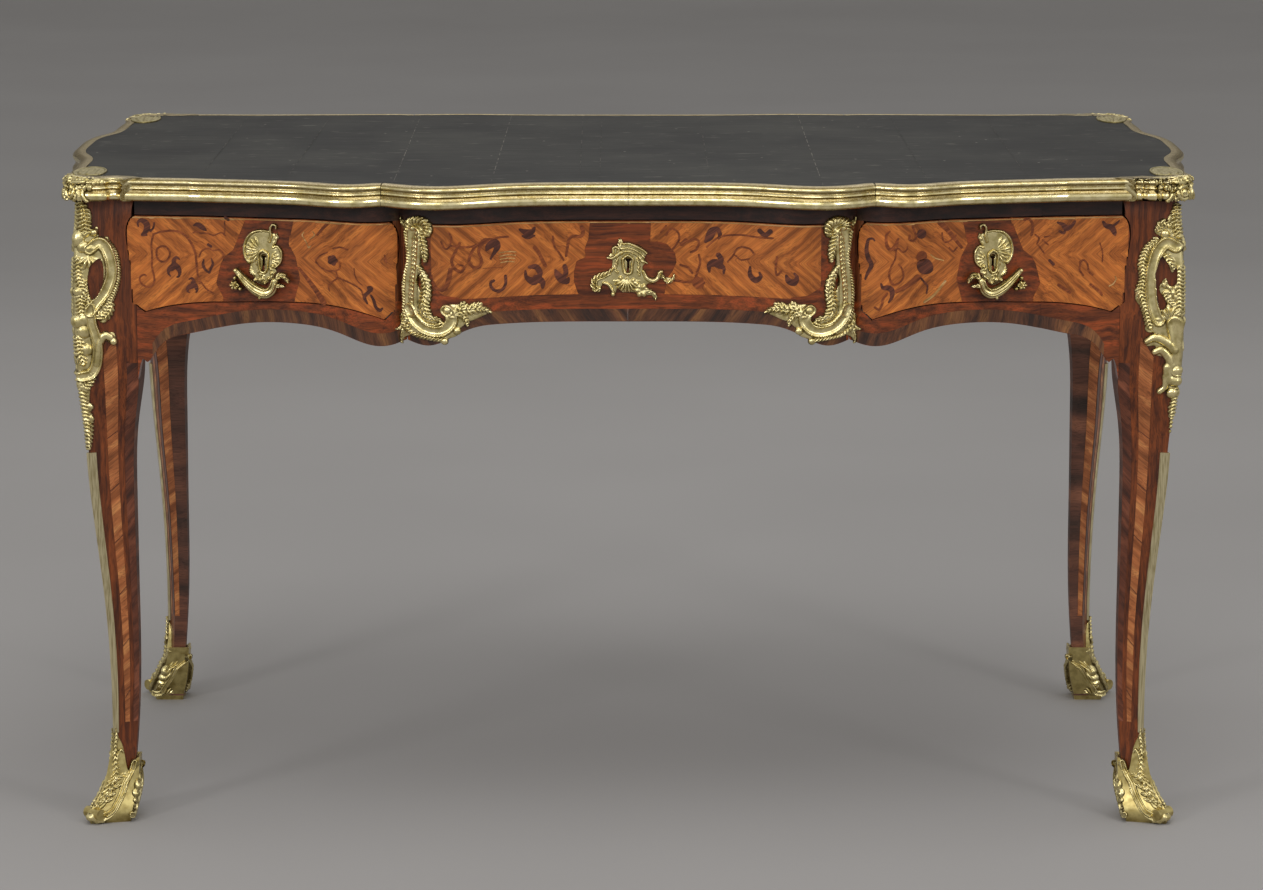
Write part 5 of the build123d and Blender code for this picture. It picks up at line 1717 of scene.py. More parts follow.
    def clasp(self, tag: str, side_x: int, side_y: int) -> None:
        """Cast clasp over a corner: a plain shell, and the carving on it.

        Args:
            tag: which corner.
            side_x: -1 for the left and 1 for the right.
            side_y: -1 for the front and 1 for the back.
        """
        node = f"corner_clasp_{tag}"
        inner = (side_x * (self.arm_x - 2), side_y * (self.arm_y - 2) + self.shift)
        path = outer_curve(node, self.rim_level, inner)
        path = path[(np.abs(path[:, 0]) > self.arm_x + 0.4) & (np.abs(path[:, 1] - self.shift) > self.arm_y + 0.4)]
        path = np.stack([smooth_line(np.arange(len(path)), path[:, a], np.arange(len(path)), 5) for a in (0, 1)], 1)
        edge = EdgeFace(path, self.level, self.CLASP, path - inner)
        half = edge.run[-1] / 2
        shell = edge.sweep(f"clasp_shell_{tag}", [(0.0, edge.run[-1])], 2.0)
        RIM_GILT.dress(shell)
        ride_and_report(shell, "root", "gilt_bronze", node)
        edge.run = edge.run - half
        arm = half - 3
        marks = [
            Fan(3.2, 0, 33, 14.5, 22),
            stroke(ROPE, 4.4, (2.3,), 0, 19.5, 8, 21, 13.5, 26, 15, 33, 12, 40, 6, 44, 0, 45),
            stroke(ROUND, 4.6, (1.7,), 0, 24.5, 6, 26, 9.4, 32, 7.4, 38, 0, 40.6),
            stroke(ROUND, 4.2, (1.2,), 0, 28, 4.6, 30.5, 4, 36, 0, 37.4), *beads(5.6, 0, 33.5, 3.6),
            stroke(BAND, 3.4, (3.4,), 18.6, 45, 18, 36, 18, 28, 20, 22),
            stroke(ROUND, 4.2, (2.6, 2.3, 1.8), 27, 20.5, 22.5, 27, 22, 34, 25, 40, 31, 44, min(arm, 40), 45),
            *beads(4.2, 29.5, 23, 4.4), *beads(5.2, 29.5, 23, 1.9),
            stroke(LEAF, 2.6, (6, 6, 3), 0, 12, 12, 12, 26, 13, pitch=4.5),
            stroke(ROUND, 2.8, (1.5,), 0, 18, 10, 17.6, 24, 16.6),
            stroke(ROUND, 2.0, (1.3,), 0, 14, 12, 13.6, 26, 12.6),
            *beads(2.4, 35, 18.5, 3, 40, 17.6, 2.2, 45, 17, 3.2),
            stroke(LEAF, 1.6, (2, 3.4, 1.2), 31, 13, 39, 12, arm, 13),
            *beads(0.9, 4, 6, 2.8, 11, 5, 2.2, 18, 6, 2.8, 25, 5, 2.2, 32, 6, 2.4),
        ]
        carving = Relief(Sheet(0, self.carving_top, 1.0), marks, step=0.55, edge=0.3, rise=-0.3, twin=True)
        fix_casting(carving, f"clasp_carving_{tag}", edge, "root")
        self.tongue(tag, side_x, side_y)

    def tongue(self, tag: str, side_x: int, side_y: int) -> None:
        """Ribbed shield over the leather's corner, longest along the short side.

        Args:
            tag: which corner.
            side_x: -1 for the left and 1 for the right.
            side_y: -1 for the front and 1 for the back.
        """
        marks = [
            plate(0.9, 646, -304, 649, -284, 647, -260, 640, -242, 630, -236, 620, -244, 614, -262, 613, -284, 616,
                  -304),
            stroke(ROUND, 1.7, (1.4,), 646, -304, 649, -284, 647, -260, 640, -243, 630, -237, 620, -245, 614, -262,
                   613, -284, 616, -304),
            stroke(ROUND, 2.0, (2.2, 3.2, 1.6), 640, -300, 642, -280, 637, -254),
            stroke(ROUND, 2.0, (2.2, 3.2, 1.6), 631, -302, 631, -280, 629, -248),
            stroke(ROUND, 2.0, (2.2, 3.0, 1.6), 621, -300, 620, -280, 621, -256),
        ]
        marks = [replace(mark, path=tuple((x, side_y * y - self.shift, *rest) for x, y, *rest in mark.path))
                 for mark in marks]
        shield = Relief(Sheet(0, 0, 1.0, side_x), marks, step=0.8, edge=0.5)
        fix_casting(shield, f"clasp_tongue_{tag}", Level(self.leather_level), "root", finish=WORN_GILT)

    def build(self) -> None:
        """Make everything over the frieze."""
        self.leather()
        self.creases()
        long_cuts = (-self.arm_x, -self.cusp_x, 0.0, self.cusp_x, self.arm_x)
        short_cuts = (self.shift - self.arm_y, self.shift + self.arm_y)
        for tag, axis, side in (("front", 0, -1), ("back", 0, 1), ("left", 1, -1), ("right", 1, 1)):
            profile, cuts = (self.SIDE_RIM, short_cuts) if axis else (self.RIM, long_cuts)
            self.moulding(f"{tag}_moulding", f"rim_{tag}", axis, side, profile, cuts)
        for tag, side_x, side_y in CORNERS:
            self.clasp(tag, side_x, side_y)


def dress_faces(solid: bpy.types.Object, finish: Finish, chosen: Callable[[Array], Array]) -> None:
    """Give a finish to some faces, and leave the others as they are.

    Args:
        solid: mesh object.
        finish: what they get.
        chosen: tells from rows of normals which faces get it.
    """
    mesh = solid.data
    normals = np.zeros(len(mesh.polygons) * 3, np.float32)
    mesh.polygons.foreach_get("normal", normals)
    mesh.materials.append(finish.material())
    picks = np.where(chosen(normals.reshape(-1, 3)), len(mesh.materials) - 1, 0)
    mesh.polygons.foreach_set("material_index", picks.astype(np.int32))


# ---------------------------------------------------------------------------------------------- legs
class Foot(Leg):
    """Outside of a foot: the shoe's own shape at the bottom, and over it the leg's, pushed out."""

    PROUD = ((2.4, 2.4), (-1.0, 3.0), (-1.0, -1.0), (3.0, -1.0))  # mm that each corner of the leg is moved by
    BLEND = (44.0, 58.0)  # levels between which the one gives way to the other

    def __init__(self, side_x: int, side_y: int, shift: float) -> None:
        """Measure the shoe and the leg, and blend their corners.

        Args:
            side_x: -1 for the left and 1 for the right.
            side_y: -1 for the front and 1 for the back.
            shift: y of the middle of the four legs.
        """
        super().__init__("sabot_back_right", side_x, side_y, shift)
        leg = Leg("leg_back_right", side_x, side_y, shift)
        share = np.interp(self.levels, self.BLEND, (0, 1))
        for number, off in enumerate(self.PROUD):
            for axis in (0, 1):
                over = np.interp(self.levels, leg.levels, leg.corners[number, axis]) + off[axis]
                self.corners[number, axis] = self.corners[number, axis] * (1 - share) + over * share


@dataclass
class LegDress:
    """Veneers and castings of the four cabriole legs."""

    shift: float = 33.5
    cast_top: float = 751.0
    stripe_low: float = 118.0
    stripe_high: float = 592.0
    stripe_share: tuple[float, float] = (0.42, 0.65)
    edge_high: float = 560.0
    edge_share: float = 0.8
    joint_step: float = 64.0
    joint_slant: float = 9.0
    sabot_top: float = 124.7
    sabot_square: float = 0.84
    squares: tuple[float, float] = (2.27, 2.0)

    def inner_faces(self, leg: bpy.types.Object, side_x: int, side_y: int) -> None:
        """Banded veneer on the two faces that look under the desk.

        Args:
            leg: the leg's solid.
            side_x: -1 for the left and 1 for the right.
            side_y: -1 for the front and 1 for the back.
        """
        away = np.array([[side_x, 0.0], [0.0, side_y]])
        dress_faces(leg, BANDED_KINGWOOD, lambda normals: (normals[:, :2] @ away).max(1) < 0.2)

    @staticmethod
    def between(side: int, levels: Array, near: Iterable[float], far: Iterable[float]) -> Patch:
        """Veneer between two lines that run up a leg.

        Args:
            side: 1 for the long face and -1 for the end face.
            levels: z of the lines' points.
            near: how far the one line lies from the arris at the levels.
            far: how far the other does.

        Returns:
            The piece of veneer.
        """
        left = [(side * a, -z) for a, z in zip(near, levels)]
        right = [(side * b, -z) for b, z in zip(far, levels)]
        return Patch(tuple(left + right[::-1]), smooth=False)

    def veneers(self, tag: str, face: Leg) -> None:
        """Light stripe with its joints, and kingwood edge, on both outer faces, and a strip round the end face.

        Args:
            tag: which leg.
            face: the leg's outside.
        """
        levels = np.linspace(self.stripe_low, self.stripe_high, 40)
        tall = np.linspace(self.stripe_low, self.edge_high, 30)
        near, far = self.stripe_share
        slim = np.interp(levels, (self.stripe_low, 200), (0.25, 0)) * (far - near) / 2
        joints = []
        for side, name in ((1, "long"), (-1, "end")):
            wide = face.widths(levels)[0 if side > 0 else 1]
            low, high = wide * (near + slim), wide * (far - slim)
            stripe = Inlay([self.between(side, levels, low[:-2], high)], STRIPE_WOOD, turn=35 * side)
            stripe.lay(f"leg_stripe_{name}_{tag}", face)
            for z in np.arange(self.stripe_low + 30, self.stripe_high - 70, self.joint_step):
                over = z + self.joint_slant
                a, b = np.interp(z, levels, low), np.interp(over, levels, high)
                joints.append(vine((0.45,), side * a, -z, side * b, -over))
            wide = face.widths(tall)[0 if side > 0 else 1]
            edge = Inlay([self.between(side, tall, wide * self.edge_share, wide - 0.3)], EDGE_WOOD, turn=45 * side)
            edge.lay(f"leg_edge_{name}_{tag}", face)
        levels = np.linspace(self.stripe_low, self.edge_high, 36)
        wide = face.widths(levels)[1]
        deep = np.linalg.norm(face.corner(2, levels) - face.corner(3, levels), axis=1)
        strip = Inlay([self.between(1, levels, -wide - 0.6, -wide - 0.38 * deep)], STRIPE_WOOD, turn=-35)
        strip.lay(f"leg_strip_inner_{tag}", face)
        lines = Inlay(joints, DARK_INLAY, layer=2, step=0.5)
        lines.lay(f"leg_joints_{tag}", face)

    def corner_mount(self, tag: str, face: Leg, drawing: tuple[list, list], square: float) -> None:
        """Openwork casting over the knee.

        Args:
            tag: which leg.
            face: the leg's outside.
            drawing: marks and piercing.
            square: size of the drawing's squares, in millimetres.
        """
        marks, eye = drawing
        cast = Relief(Sheet(0, self.cast_top, square), marks, step=0.65, edge=0.9, holes=eye, twin=True)
        fix_casting(cast, f"knee_cast_{tag}", face, "root", f"corner_mount_{tag}")

    def sabot(self, tag: str, face: Leg) -> None:
        """Acanthus and volutes over the plain shoe.

        Args:
            tag: which leg.
            face: the foot's outside.
        """
        SHOE_GILT.dress(frame["nodes"][f"sabot_{tag}"])
        cast = Relief(Sheet(0, self.sabot_top, self.sabot_square), sabot_cast(), step=0.55, edge=0.6, twin=True)
        fix_casting(cast, f"foot_cast_{tag}", face, "root")

    def build(self) -> None:
        """Dress all four legs."""
        for tag, side_x, side_y in CORNERS:
            face = Leg("leg_back_right", side_x, side_y, self.shift)
            leg = frame["nodes"][f"leg_{tag}"]
            AMARANTH_UPRIGHT.dress(leg)
            self.inner_faces(leg, side_x, side_y)
            STRIP_BRASS.dress(frame["nodes"][f"leg_fillet_{tag}"])
            self.veneers(tag, face)
            drawing = corner_cast_a() if side_x * side_y > 0 else corner_cast_b()
            self.corner_mount(tag, face, drawing, self.squares[0 if side_x * side_y > 0 else 1])
            self.sabot(tag, Foot(side_x, side_y, self.shift))


# ---------------------------------------------------------------------------------------------- drawings of inlays
Drawing = list[tuple[Sheet, Veneer, list]]
BAND_LOW, BAND_HIGH = 0.4, 15.0  # mm over an apron's lower edge between which its crossband lies
CENTRE_LEFT, CENTRE_RIGHT = Sheet(-235.7, 744.0, 1.517), Sheet(-0.3, 744.0, 1.517)


def left_inlays() -> Drawing:
    """Scrolls, leaves and a flower in the left drawer's panels.

    Returns:
        Sheet, wood and marks of each lot.
    """
    outer, inner = Sheet(-589.5, 747.6, 1.11), Sheet(-424.8, 747.6, 1.06)
    return [
        (outer, BROWN_INLAY, [
            vine((0.9, 1.3, 1.3, 0.9), 33, 31, 40, 28.5, 50, 27, 60, 28, 67, 32, 73, 40, 77, 50, 78, 60, 79, 72, 81,
                 82),
            vine((1.0,), 33, 31, 31, 38, 30.5, 45, 31, 55, 30.5, 65, 32.5, 75, 32.5, 82, 28, 87, 22, 86, 18, 82, 17.5,
                 77, 21, 74, 24, 75),
            vine((1.1,), 35.5, 50, 37, 46, 42, 43.5, 47, 45, 50, 50, 49, 55, 46, 59, 42, 60, 37, 57, 35.5, 50),
            vine((0.8,), 81, 54, 84, 48, 90, 45, 96, 47, 103, 46, 107, 50, 106, 55),
            vine((0.7,), 109, 16, 109, 25, 108, 30),
            vine((0.7,), 75, 29, 79, 27.5, 84, 29, 90, 29, 97, 31, 105, 28, 110, 31),
            vine((0.8,), 82, 80, 88, 88, 95, 92),
        ]),
        (outer, DARK_INLAY, [
            vine((0.8, 1.2, 2, 3.2, 3.4, 2.4, 1.4, 0.8), 17, 23, 16.5, 19, 20, 16.5, 25, 19, 26.5, 24, 24, 29, 21, 32,
                 26, 32),
            vine((1.0,), 30, 28, 33, 24, 34, 19), vine((2.6, 3, 2, 1.2, 0.8), 54, 62, 58, 66, 60, 70, 59, 75, 57, 76),
            vine((0.8, 1.4, 2, 2.6, 3.4, 2.4, 1.2, 0.8), 60, 57, 57, 55, 54, 58, 54, 63, 52, 66, 49, 68, 48, 72, 50,
                 75),
            vine((0.8, 1.2, 2, 2.8, 2.2, 1, 0.7), 70, 78, 73, 77, 75, 81, 73, 85, 69, 87, 68, 91, 70, 92),
            vine((2.6, 2.4, 1.2, 0.7), 74, 82, 77, 86, 78, 90, 77, 92),
            vine((0.8, 2.4, 2.8, 0.8), 76, 21, 80, 20, 85, 23, 89, 26),
            vine((0.7, 1.5, 1.5, 0.8), 86, 57, 85, 62, 87, 67, 91, 71),
            vine((0.7, 1.4, 1.4, 0.7), 94, 56, 95.5, 61, 93, 67, 92, 71),
            vine((1.5,), 91, 41, 94, 43), vine((1.6,), 110, 12, 113, 14),
        ]),
        (inner, PALE_INLAY, [
            vine((0.6,), 47, 26, 45, 29, 47, 33, 50, 38, 52, 43, 54, 41), vine((0.6,), 57, 25, 59, 28, 57, 31, 54, 33),
        ]),
        (inner, DARK_INLAY, [
            Fan(0, 79, 55, 6, 5), vine((2.2, 2.6, 2, 2, 1), 119, 83, 121, 84, 118, 88, 114, 93, 117, 100),
            vine((1, 1.6, 1.6, 1.8, 1), 121, 91, 124, 97, 126, 104, 130, 108, 133, 106),
        ]),
        (inner, BROWN_INLAY, [
            vine((1.5, 2.5, 3.5), 41, 66, 50, 77, 60, 90, 68, 102), vine((1.2, 1.6, 1.2), 62, 28, 70, 19, 76, 13),
            vine((0.8,), 60, 56, 66, 50, 73, 47), vine((0.9,), 60, 58, 66, 64, 74, 67, 82, 66, 87, 63, 87, 57),
            vine((0.9,), 83, 68, 84, 74, 78, 79, 74, 84, 75, 89),
            vine((0.9,), 83, 73, 92, 76, 102, 80, 110, 85, 113, 92),
            vine((1.0,), 80, 42, 88, 40, 96, 42), vine((0.6,), 103, 62, 104, 70, 108, 77, 112, 80),
            vine((0.8,), 135, 52, 138, 56, 136, 48),
        ]),
    ]


def right_inlays() -> Drawing:
    """Scrolls, leaves and fruit in the right drawer's panels.

    Returns:
        Sheet, wood and marks of each lot.
    """
    inner, outer = Sheet(260.4, 748.5, 1.11), Sheet(421.8, 747.6, 1.11)
    return [
        (inner, BROWN_INLAY, [
            vine((1, 1.8, 1.2), 36, 21, 33, 24, 32.5, 31, 34, 37, 37, 40, 40, 38, 43, 33, 45, 29),
            vine((0.6, 1.2, 0.8), 45, 33, 43, 42, 42, 50, 38, 58, 36, 66, 38, 74, 42, 77, 48, 74, 51, 68, 49, 60, 46,
                 56),
            vine((0.8,), 41, 41, 45, 39, 50, 43, 54, 41, 55, 38),
            vine((1.2,), 34, 86, 30, 92, 29, 98, 26, 103, 22, 101),
            vine((1.2,), 57, 26, 57, 30, 61, 32, 64, 28, 62, 22, 60, 17), vine((5.6,), 70, 49, 70.5, 49),
            vine((0.9,), 92, 26, 93, 33, 97, 36, 103, 33, 107, 29), vine((0.9,), 100, 42, 104, 46, 108, 42),
            vine((2, 3.5), 44, 84, 56, 78, 66, 71), vine((3, 1.5), 90, 15, 97, 22, 105, 32, 113, 42),
        ]),
        (inner, DARK_INLAY, [
            vine((0.8, 1.6, 2.6, 1), 21, 31, 19, 29, 15, 30, 13.5, 35, 13, 42, 15, 50, 18, 57, 14, 66, 12, 72),
            vine((1, 3.2, 1), 28, 76, 30, 80, 35, 80, 39, 83, 39, 90, 36, 95), vine((5.0,), 69.5, 25.5, 70, 25.5),
            vine((6, 8, 6), 71, 58, 74, 60, 77, 62), vine((1.0,), 70, 72, 74, 77, 77, 81, 76, 88),
        ]),
        (inner, PALE_INLAY, [
            vine((0.7,), 80, 48, 85, 52, 94, 55), vine((1.4,), 74, 97, 85, 90, 96, 77),
        ]),
        (outer, BROWN_INLAY, [
            vine((1.4,), 34, 14, 38, 13, 42, 17, 43, 24, 42, 30), vine((0.9,), 46, 30, 50, 34, 48, 40),
            vine((0.8,), 50, 42, 56, 50), vine((0.8,), 54, 36, 60, 41), vine((0.8,), 56, 33, 62, 32),
            vine((1.0,), 94, 60, 98, 58, 102, 62, 104, 70, 108, 74), vine((1.0,), 95, 60, 94, 68, 98, 74),
            vine((0.7,), 115, 40, 118, 50, 118, 60), vine((1.4,), 106, 84, 116, 92, 118, 95),
            vine((1.6,), 72, 84, 78, 88, 84, 92),
        ]),
        (outer, DARK_INLAY, [
            vine((1.2, 3, 1.4), 70, 18, 75, 20, 79, 24, 84, 22, 88, 17), vine((1.4,), 79, 24, 76, 29, 72, 27),
            vine((1.4, 2.4, 3.2, 2.6, 1), 118, 18, 121, 22, 127, 24, 130, 29, 131, 32),
            vine((1.6, 0.8), 127, 24, 133, 19, 135, 17), vine((1.6,), 62, 58, 66, 62),
        ]),
        (outer, PALE_INLAY, [vine((0.7,), 126, 86, 130, 84, 133, 79, 132, 76)]),
    ]


def centre_inlays() -> Drawing:
    """Scrolls, leaves and ripples in the centre drawer's panels.

    Returns:
        Sheet, wood and marks of each lot.
    """
    left, right = CENTRE_LEFT, CENTRE_RIGHT
    ripples = [vine((0.45,), 57 + n / 2, y, 64, y - 0.6, 70 - n / 2, y) for n, y in enumerate((29, 31.5, 34, 36.5))]
    return [
        (left, BROWN_INLAY, [
            vine((0.7,), 14, 19, 17, 24, 20, 23, 22, 16, 20, 12),
            vine((1, 1.2, 0.7), 28, 20, 25, 26, 22, 33, 24, 39, 29, 42, 31, 38, 27, 36),
            vine((1.6, 2, 1.4), 21, 40, 20, 46, 18, 52, 14, 56), vine((1.0,), 8, 50, 10, 54, 14, 56, 18, 55),
            vine((1.1,), 40, 22, 36, 29, 35, 35, 39, 39, 43, 38, 44, 33, 42, 27, 44, 22, 49, 19),
            vine((0.8,), 22, 22, 32, 23, 41, 22, 46, 18, 52, 18, 58, 17, 64, 17), vine((0.25,), 4, 40, 60, 40),
            vine((1.4,), 84, 26, 87, 30, 90, 36, 92, 40), vine((0.8,), 98, 18, 99, 25, 103, 31, 106, 36),
            vine((1.6, 1.2, 0.9), 120, 11, 121, 15, 119, 18, 113, 18, 110, 21, 109, 27, 108, 33),
        ]),
        (left, DARK_INLAY, [
            vine((1, 2.6, 3, 2.4, 1.6, 1, 0.8), 48, 26, 50, 23, 54, 21, 56, 24, 54, 28, 52, 31, 51, 33),
            vine((1.1,), 62, 47, 62, 53, 59, 57.5, 54, 57.5, 51, 54, 51, 51, 53, 50),
            vine((1, 2.6, 1), 73, 12, 77, 14, 82, 14, 84, 11), vine((0.8, 1.6, 0.8), 75, 17, 79, 18, 84, 17),
            vine((0.8, 1.6, 3, 3, 2.2, 1), 77, 44, 78, 49, 83, 52, 86, 50, 90, 53, 90, 57),
            vine((1.2, 2.6, 1.2), 80, 41, 85, 41, 88, 45, 88, 49), vine((1.8,), 107, 41, 108, 46, 106, 49),
            vine((1, 2.6, 3, 1.6, 0.8), 100, 44, 102, 48, 105, 51, 109, 53, 110, 50),
        ]),
        (left, PALE_INLAY, ripples),
        (right, BROWN_INLAY, [
            vine((0.8,), 29, 17, 33, 12, 38, 15, 39, 20, 37, 24, 33, 29), vine((0.7,), 25, 15, 29, 10),
            vine((0.9,), 46, 22, 50, 20, 54, 22, 52, 28, 48, 30), vine((1.6,), 41, 24, 44, 21),
            vine((0.8, 1), 54, 32, 55, 38, 53, 45, 50, 52, 44, 53, 36, 52, 31, 52),
            vine((0.9,), 40, 40, 46, 42, 49, 46),
            vine((0.8,), 113, 31, 112, 40, 113, 45, 116, 42), vine((0.7,), 76, 37, 80, 32, 84, 26, 92, 26, 96, 30),
            vine((0.7,), 60, 26, 70, 18, 85, 16, 98, 17, 110, 17), vine((0.6,), 82, 32, 86, 35, 92, 34),
            Fan(0, 54, 53.5, 5, 7),
        ]),
        (right, DARK_INLAY, [
            vine((1, 3, 3, 1.6, 1.6, 1), 59, 22, 62, 18, 64, 14, 68, 12, 70, 16, 69, 19),
            vine((1.8,), 100, 12, 104, 15, 108, 12),
            vine((0.8, 2, 3, 2.6, 1.4, 0.8), 62, 45, 62, 40, 66, 38, 70, 40, 73, 42, 73, 46),
            vine((2.0,), 69, 32, 71, 35, 70, 39),
            vine((0.8, 1.8, 2.2, 1.4, 0.8), 93, 40, 93, 46, 97, 50, 101, 47, 100, 44),
            vine((1, 2.4, 2.4, 1.4, 0.8), 120, 45, 122, 49, 126, 50, 128, 46, 126, 43),
        ]),
    ]


def lay_inlays(drawer: str, drawing: Drawing, edge: Silhouette, face: Face) -> None:
    """Lay a drawer's inlays and a thin pale strip under its top edge, a painted highlight on the arris.

    Args:
        drawer: which drawer.
        drawing: sheet, wood and marks of each lot of inlays.
        edge: outline of the drawer's front.
        face: what they lie on.
    """
    for number, (sheet, wood, marks) in enumerate(drawing):
        inlay = Inlay(marks, wood, sheet, turn=30, layer=2, step=0.7)
        inlay.lay(f"{drawer}_inlay_{number}", face, f"{drawer}_drawer")
    # a pale strip under the top edge paints the highlight on the front's top arris
    top, (first, last) = float(edge.high.max()), edge.places[[0, -1]]
    line = Patch(((first, 2.2 - top), (last, 2.2 - top), (last, 0.9 - top), (first, 0.9 - top)), smooth=False)
    strip = Inlay([line], PALE_INLAY, layer=2, within=edge, step=1.0)
    strip.lay(f"{drawer}_top_line", face, f"{drawer}_drawer")


# ---------------------------------------------------------------------------------------------- drawers
@dataclass
class SideDrawer:
    """A side drawer: quartered panels round a cartouche, with its escutcheon and crescent handle."""

    name: str
    hand: int
    lock_x: float = 423.0
    middle_z: float = 690.0

    SHEET = (-472.3, 738.1, 0.67)
    LEFT_BOUND = ((-21, 740), (-21, 733), (-36, 697), (-47, 688), (-51, 680), (-57, 657), (-49, 641), (-46, 600))
    RIGHT_BOUND = ((36, 740), (36, 733), (30, 706), (38, 690), (42.6, 665), (36, 641), (36, 600))

    def panels(self, face: Face, edge: Silhouette) -> None:
        """Two quartered panels, one each side of the lock.

        Args:
            face: what they lie on.
            edge: outline of the drawer's front.
        """
        x = self.hand * self.lock_x
        for part, bound, far in (("outer", self.LEFT_BOUND, -220), ("inner", self.RIGHT_BOUND, 220)):
            line = [(-self.hand * off + x, -z) for off, z in bound]
            close = [(-self.hand * far + x, -600), (-self.hand * far + x, -740)]
            inlay = Inlay([Patch(tuple(line + close), smooth=False)], TULIPWOOD, turn=40, fold=(x, self.middle_z),
                          within=edge, step=2.0)
            inlay.lay(f"{self.name}_panel_{part}", face, f"{self.name}_drawer")

    def castings(self, face: Face, body: str, tag: str, nodes: Sequence[str], pierced: bool = True) -> None:
        """Escutcheon and crescent handle.

        Args:
            face: what they are fixed to.
            body: the body that they ride.
            tag: start of their names.
            nodes: solids that they stand for.
            pierced: whether the escutcheon has its keyhole.
        """
        marks, keyhole = side_plate()
        sheet = Sheet(*self.SHEET, -self.hand)
        cast = Relief(sheet, marks, step=0.5, edge=0.9, holes=keyhole if pierced else ())
        fix_casting(cast, f"{tag}_plate", face, body, *nodes[:1])
        pull = Relief(sheet, crescent_pull(), step=0.5, edge=1.2, back=2.5, rise=8.0)
        fix_casting(pull, f"{tag}_handle", face, body, *nodes[1:])

    def build(self, face: Face, drawing: Drawing) -> None:
        """Dress the drawer.

        Args:
            face: front of the frieze.
            drawing: its inlays.
        """
        edge = Silhouette(f"{self.name}_drawer_front")
        AMARANTH.dress(frame["nodes"][f"{self.name}_drawer_front"])
        self.panels(face, edge)
        lay_inlays(self.name, drawing, edge, face)
        self.castings(face, f"{self.name}_drawer", self.name, (f"{self.name}_escutcheon", f"{self.name}_pull"))


@dataclass
class CentreDrawer:
    """The centre drawer: two panels, a band below them, the escutcheon and the scroll frames at its ends."""

    middle_z: float = 690.0
    band_end: float = 252.0

    PLATE_SHEET = Sheet(-54.5, 724.6, 0.737)
    FRAME_SHEET = Sheet(-273.7, 754.1, 1.10)
    LEFT_BOUND = ((126, 0), (126, 9), (125, 20), (122, 28), (123, 34), (116, 37), (114, 45), (114, 53), (117, 62))
    RIGHT_BOUND = ((18, 0), (18, 9), (17, 22), (23, 22), (30, 24), (36, 31), (37, 38), (34, 45), (30, 50), (28, 62))
    LEFT_FOOT = ((60, 63), (30, 62), (16, 60), (8, 54), (7, 40), (6, 20), (8, 0))
    RIGHT_FOOT = ((80, 63), (120, 62), (136, 60), (146, 54), (146, 30), (146, 0))

    def panels(self, face: Face, edge: Silhouette) -> None:
        """Quartered panels each side of the lock, with a wavy lower edge.

        Args:
            face: what they lie on.
            edge: outline of the drawer's front.
        """
        for part, sheet, outline in (("left", CENTRE_LEFT, self.LEFT_BOUND + self.LEFT_FOOT),
                                     ("right", CENTRE_RIGHT, self.RIGHT_BOUND + self.RIGHT_FOOT)):
            inlay = Inlay([Patch(outline, smooth=False)], TULIPWOOD, sheet, turn=40, fold=(0.0, self.middle_z),
                          within=edge, step=2.0)
            inlay.lay(f"centre_panel_{part}", face, "centre_drawer")

    def crossband(self, face: Face, edge: Silhouette) -> None:
        """Kingwood band along the lower edge, its stripes leaning to the middle.

        Args:
            face: what it lies on.
            edge: outline of the drawer's front.
        """
        for part, start, stop, turn in (("left", -self.band_end, 0.0, 125), ("right", 0.0, self.band_end, 55)):
            inlay = Inlay([Rail(edge, BAND_LOW, BAND_HIGH, start, stop)], BAND_WOOD, turn=turn, step=1.6)
            inlay.lay(f"centre_crossband_{part}", face, "centre_drawer")

    def castings(self, face: Face, body: str, tag: str, nodes: Sequence[str], pierced: bool = True) -> None:
        """Escutcheon and the two scroll frames.

        Args:
            face: what they are fixed to.
            body: the body that they ride.
            tag: start of their names.
            nodes: solids that they stand for.
            pierced: whether the escutcheon has its keyhole.
        """
        marks, keyhole = centre_plate()
        cast = Relief(self.PLATE_SHEET, marks, step=0.5, edge=0.9, holes=keyhole if pierced else ())
        fix_casting(cast, f"{tag}_plate", face, body, *nodes[:1])
        marks, slit = scroll_frame()
        for number, (side, way) in enumerate(SIDES, 1):
            cast = Relief(replace(self.FRAME_SHEET, hand=-way), marks, step=0.6, edge=0.9, holes=slit)
            fix_casting(cast, f"{tag}_scroll_{side}", face, body, *nodes[number:number + 1])

    def build(self, face: Face, drawing: Drawing) -> None:
        """Dress the drawer.

        Args:
            face: front of the frieze.
            drawing: its inlays.
        """
        edge = Silhouette("centre_drawer_front")
        AMARANTH.dress(frame["nodes"]["centre_drawer_front"])
        self.panels(face, edge)
        lay_inlays("centre", drawing, edge, face)
        self.crossband(face, edge)
        nodes = ("centre_escutcheon", "frame_mount_left", "frame_mount_right")
        self.castings(face, "centre_drawer", "centre", nodes)


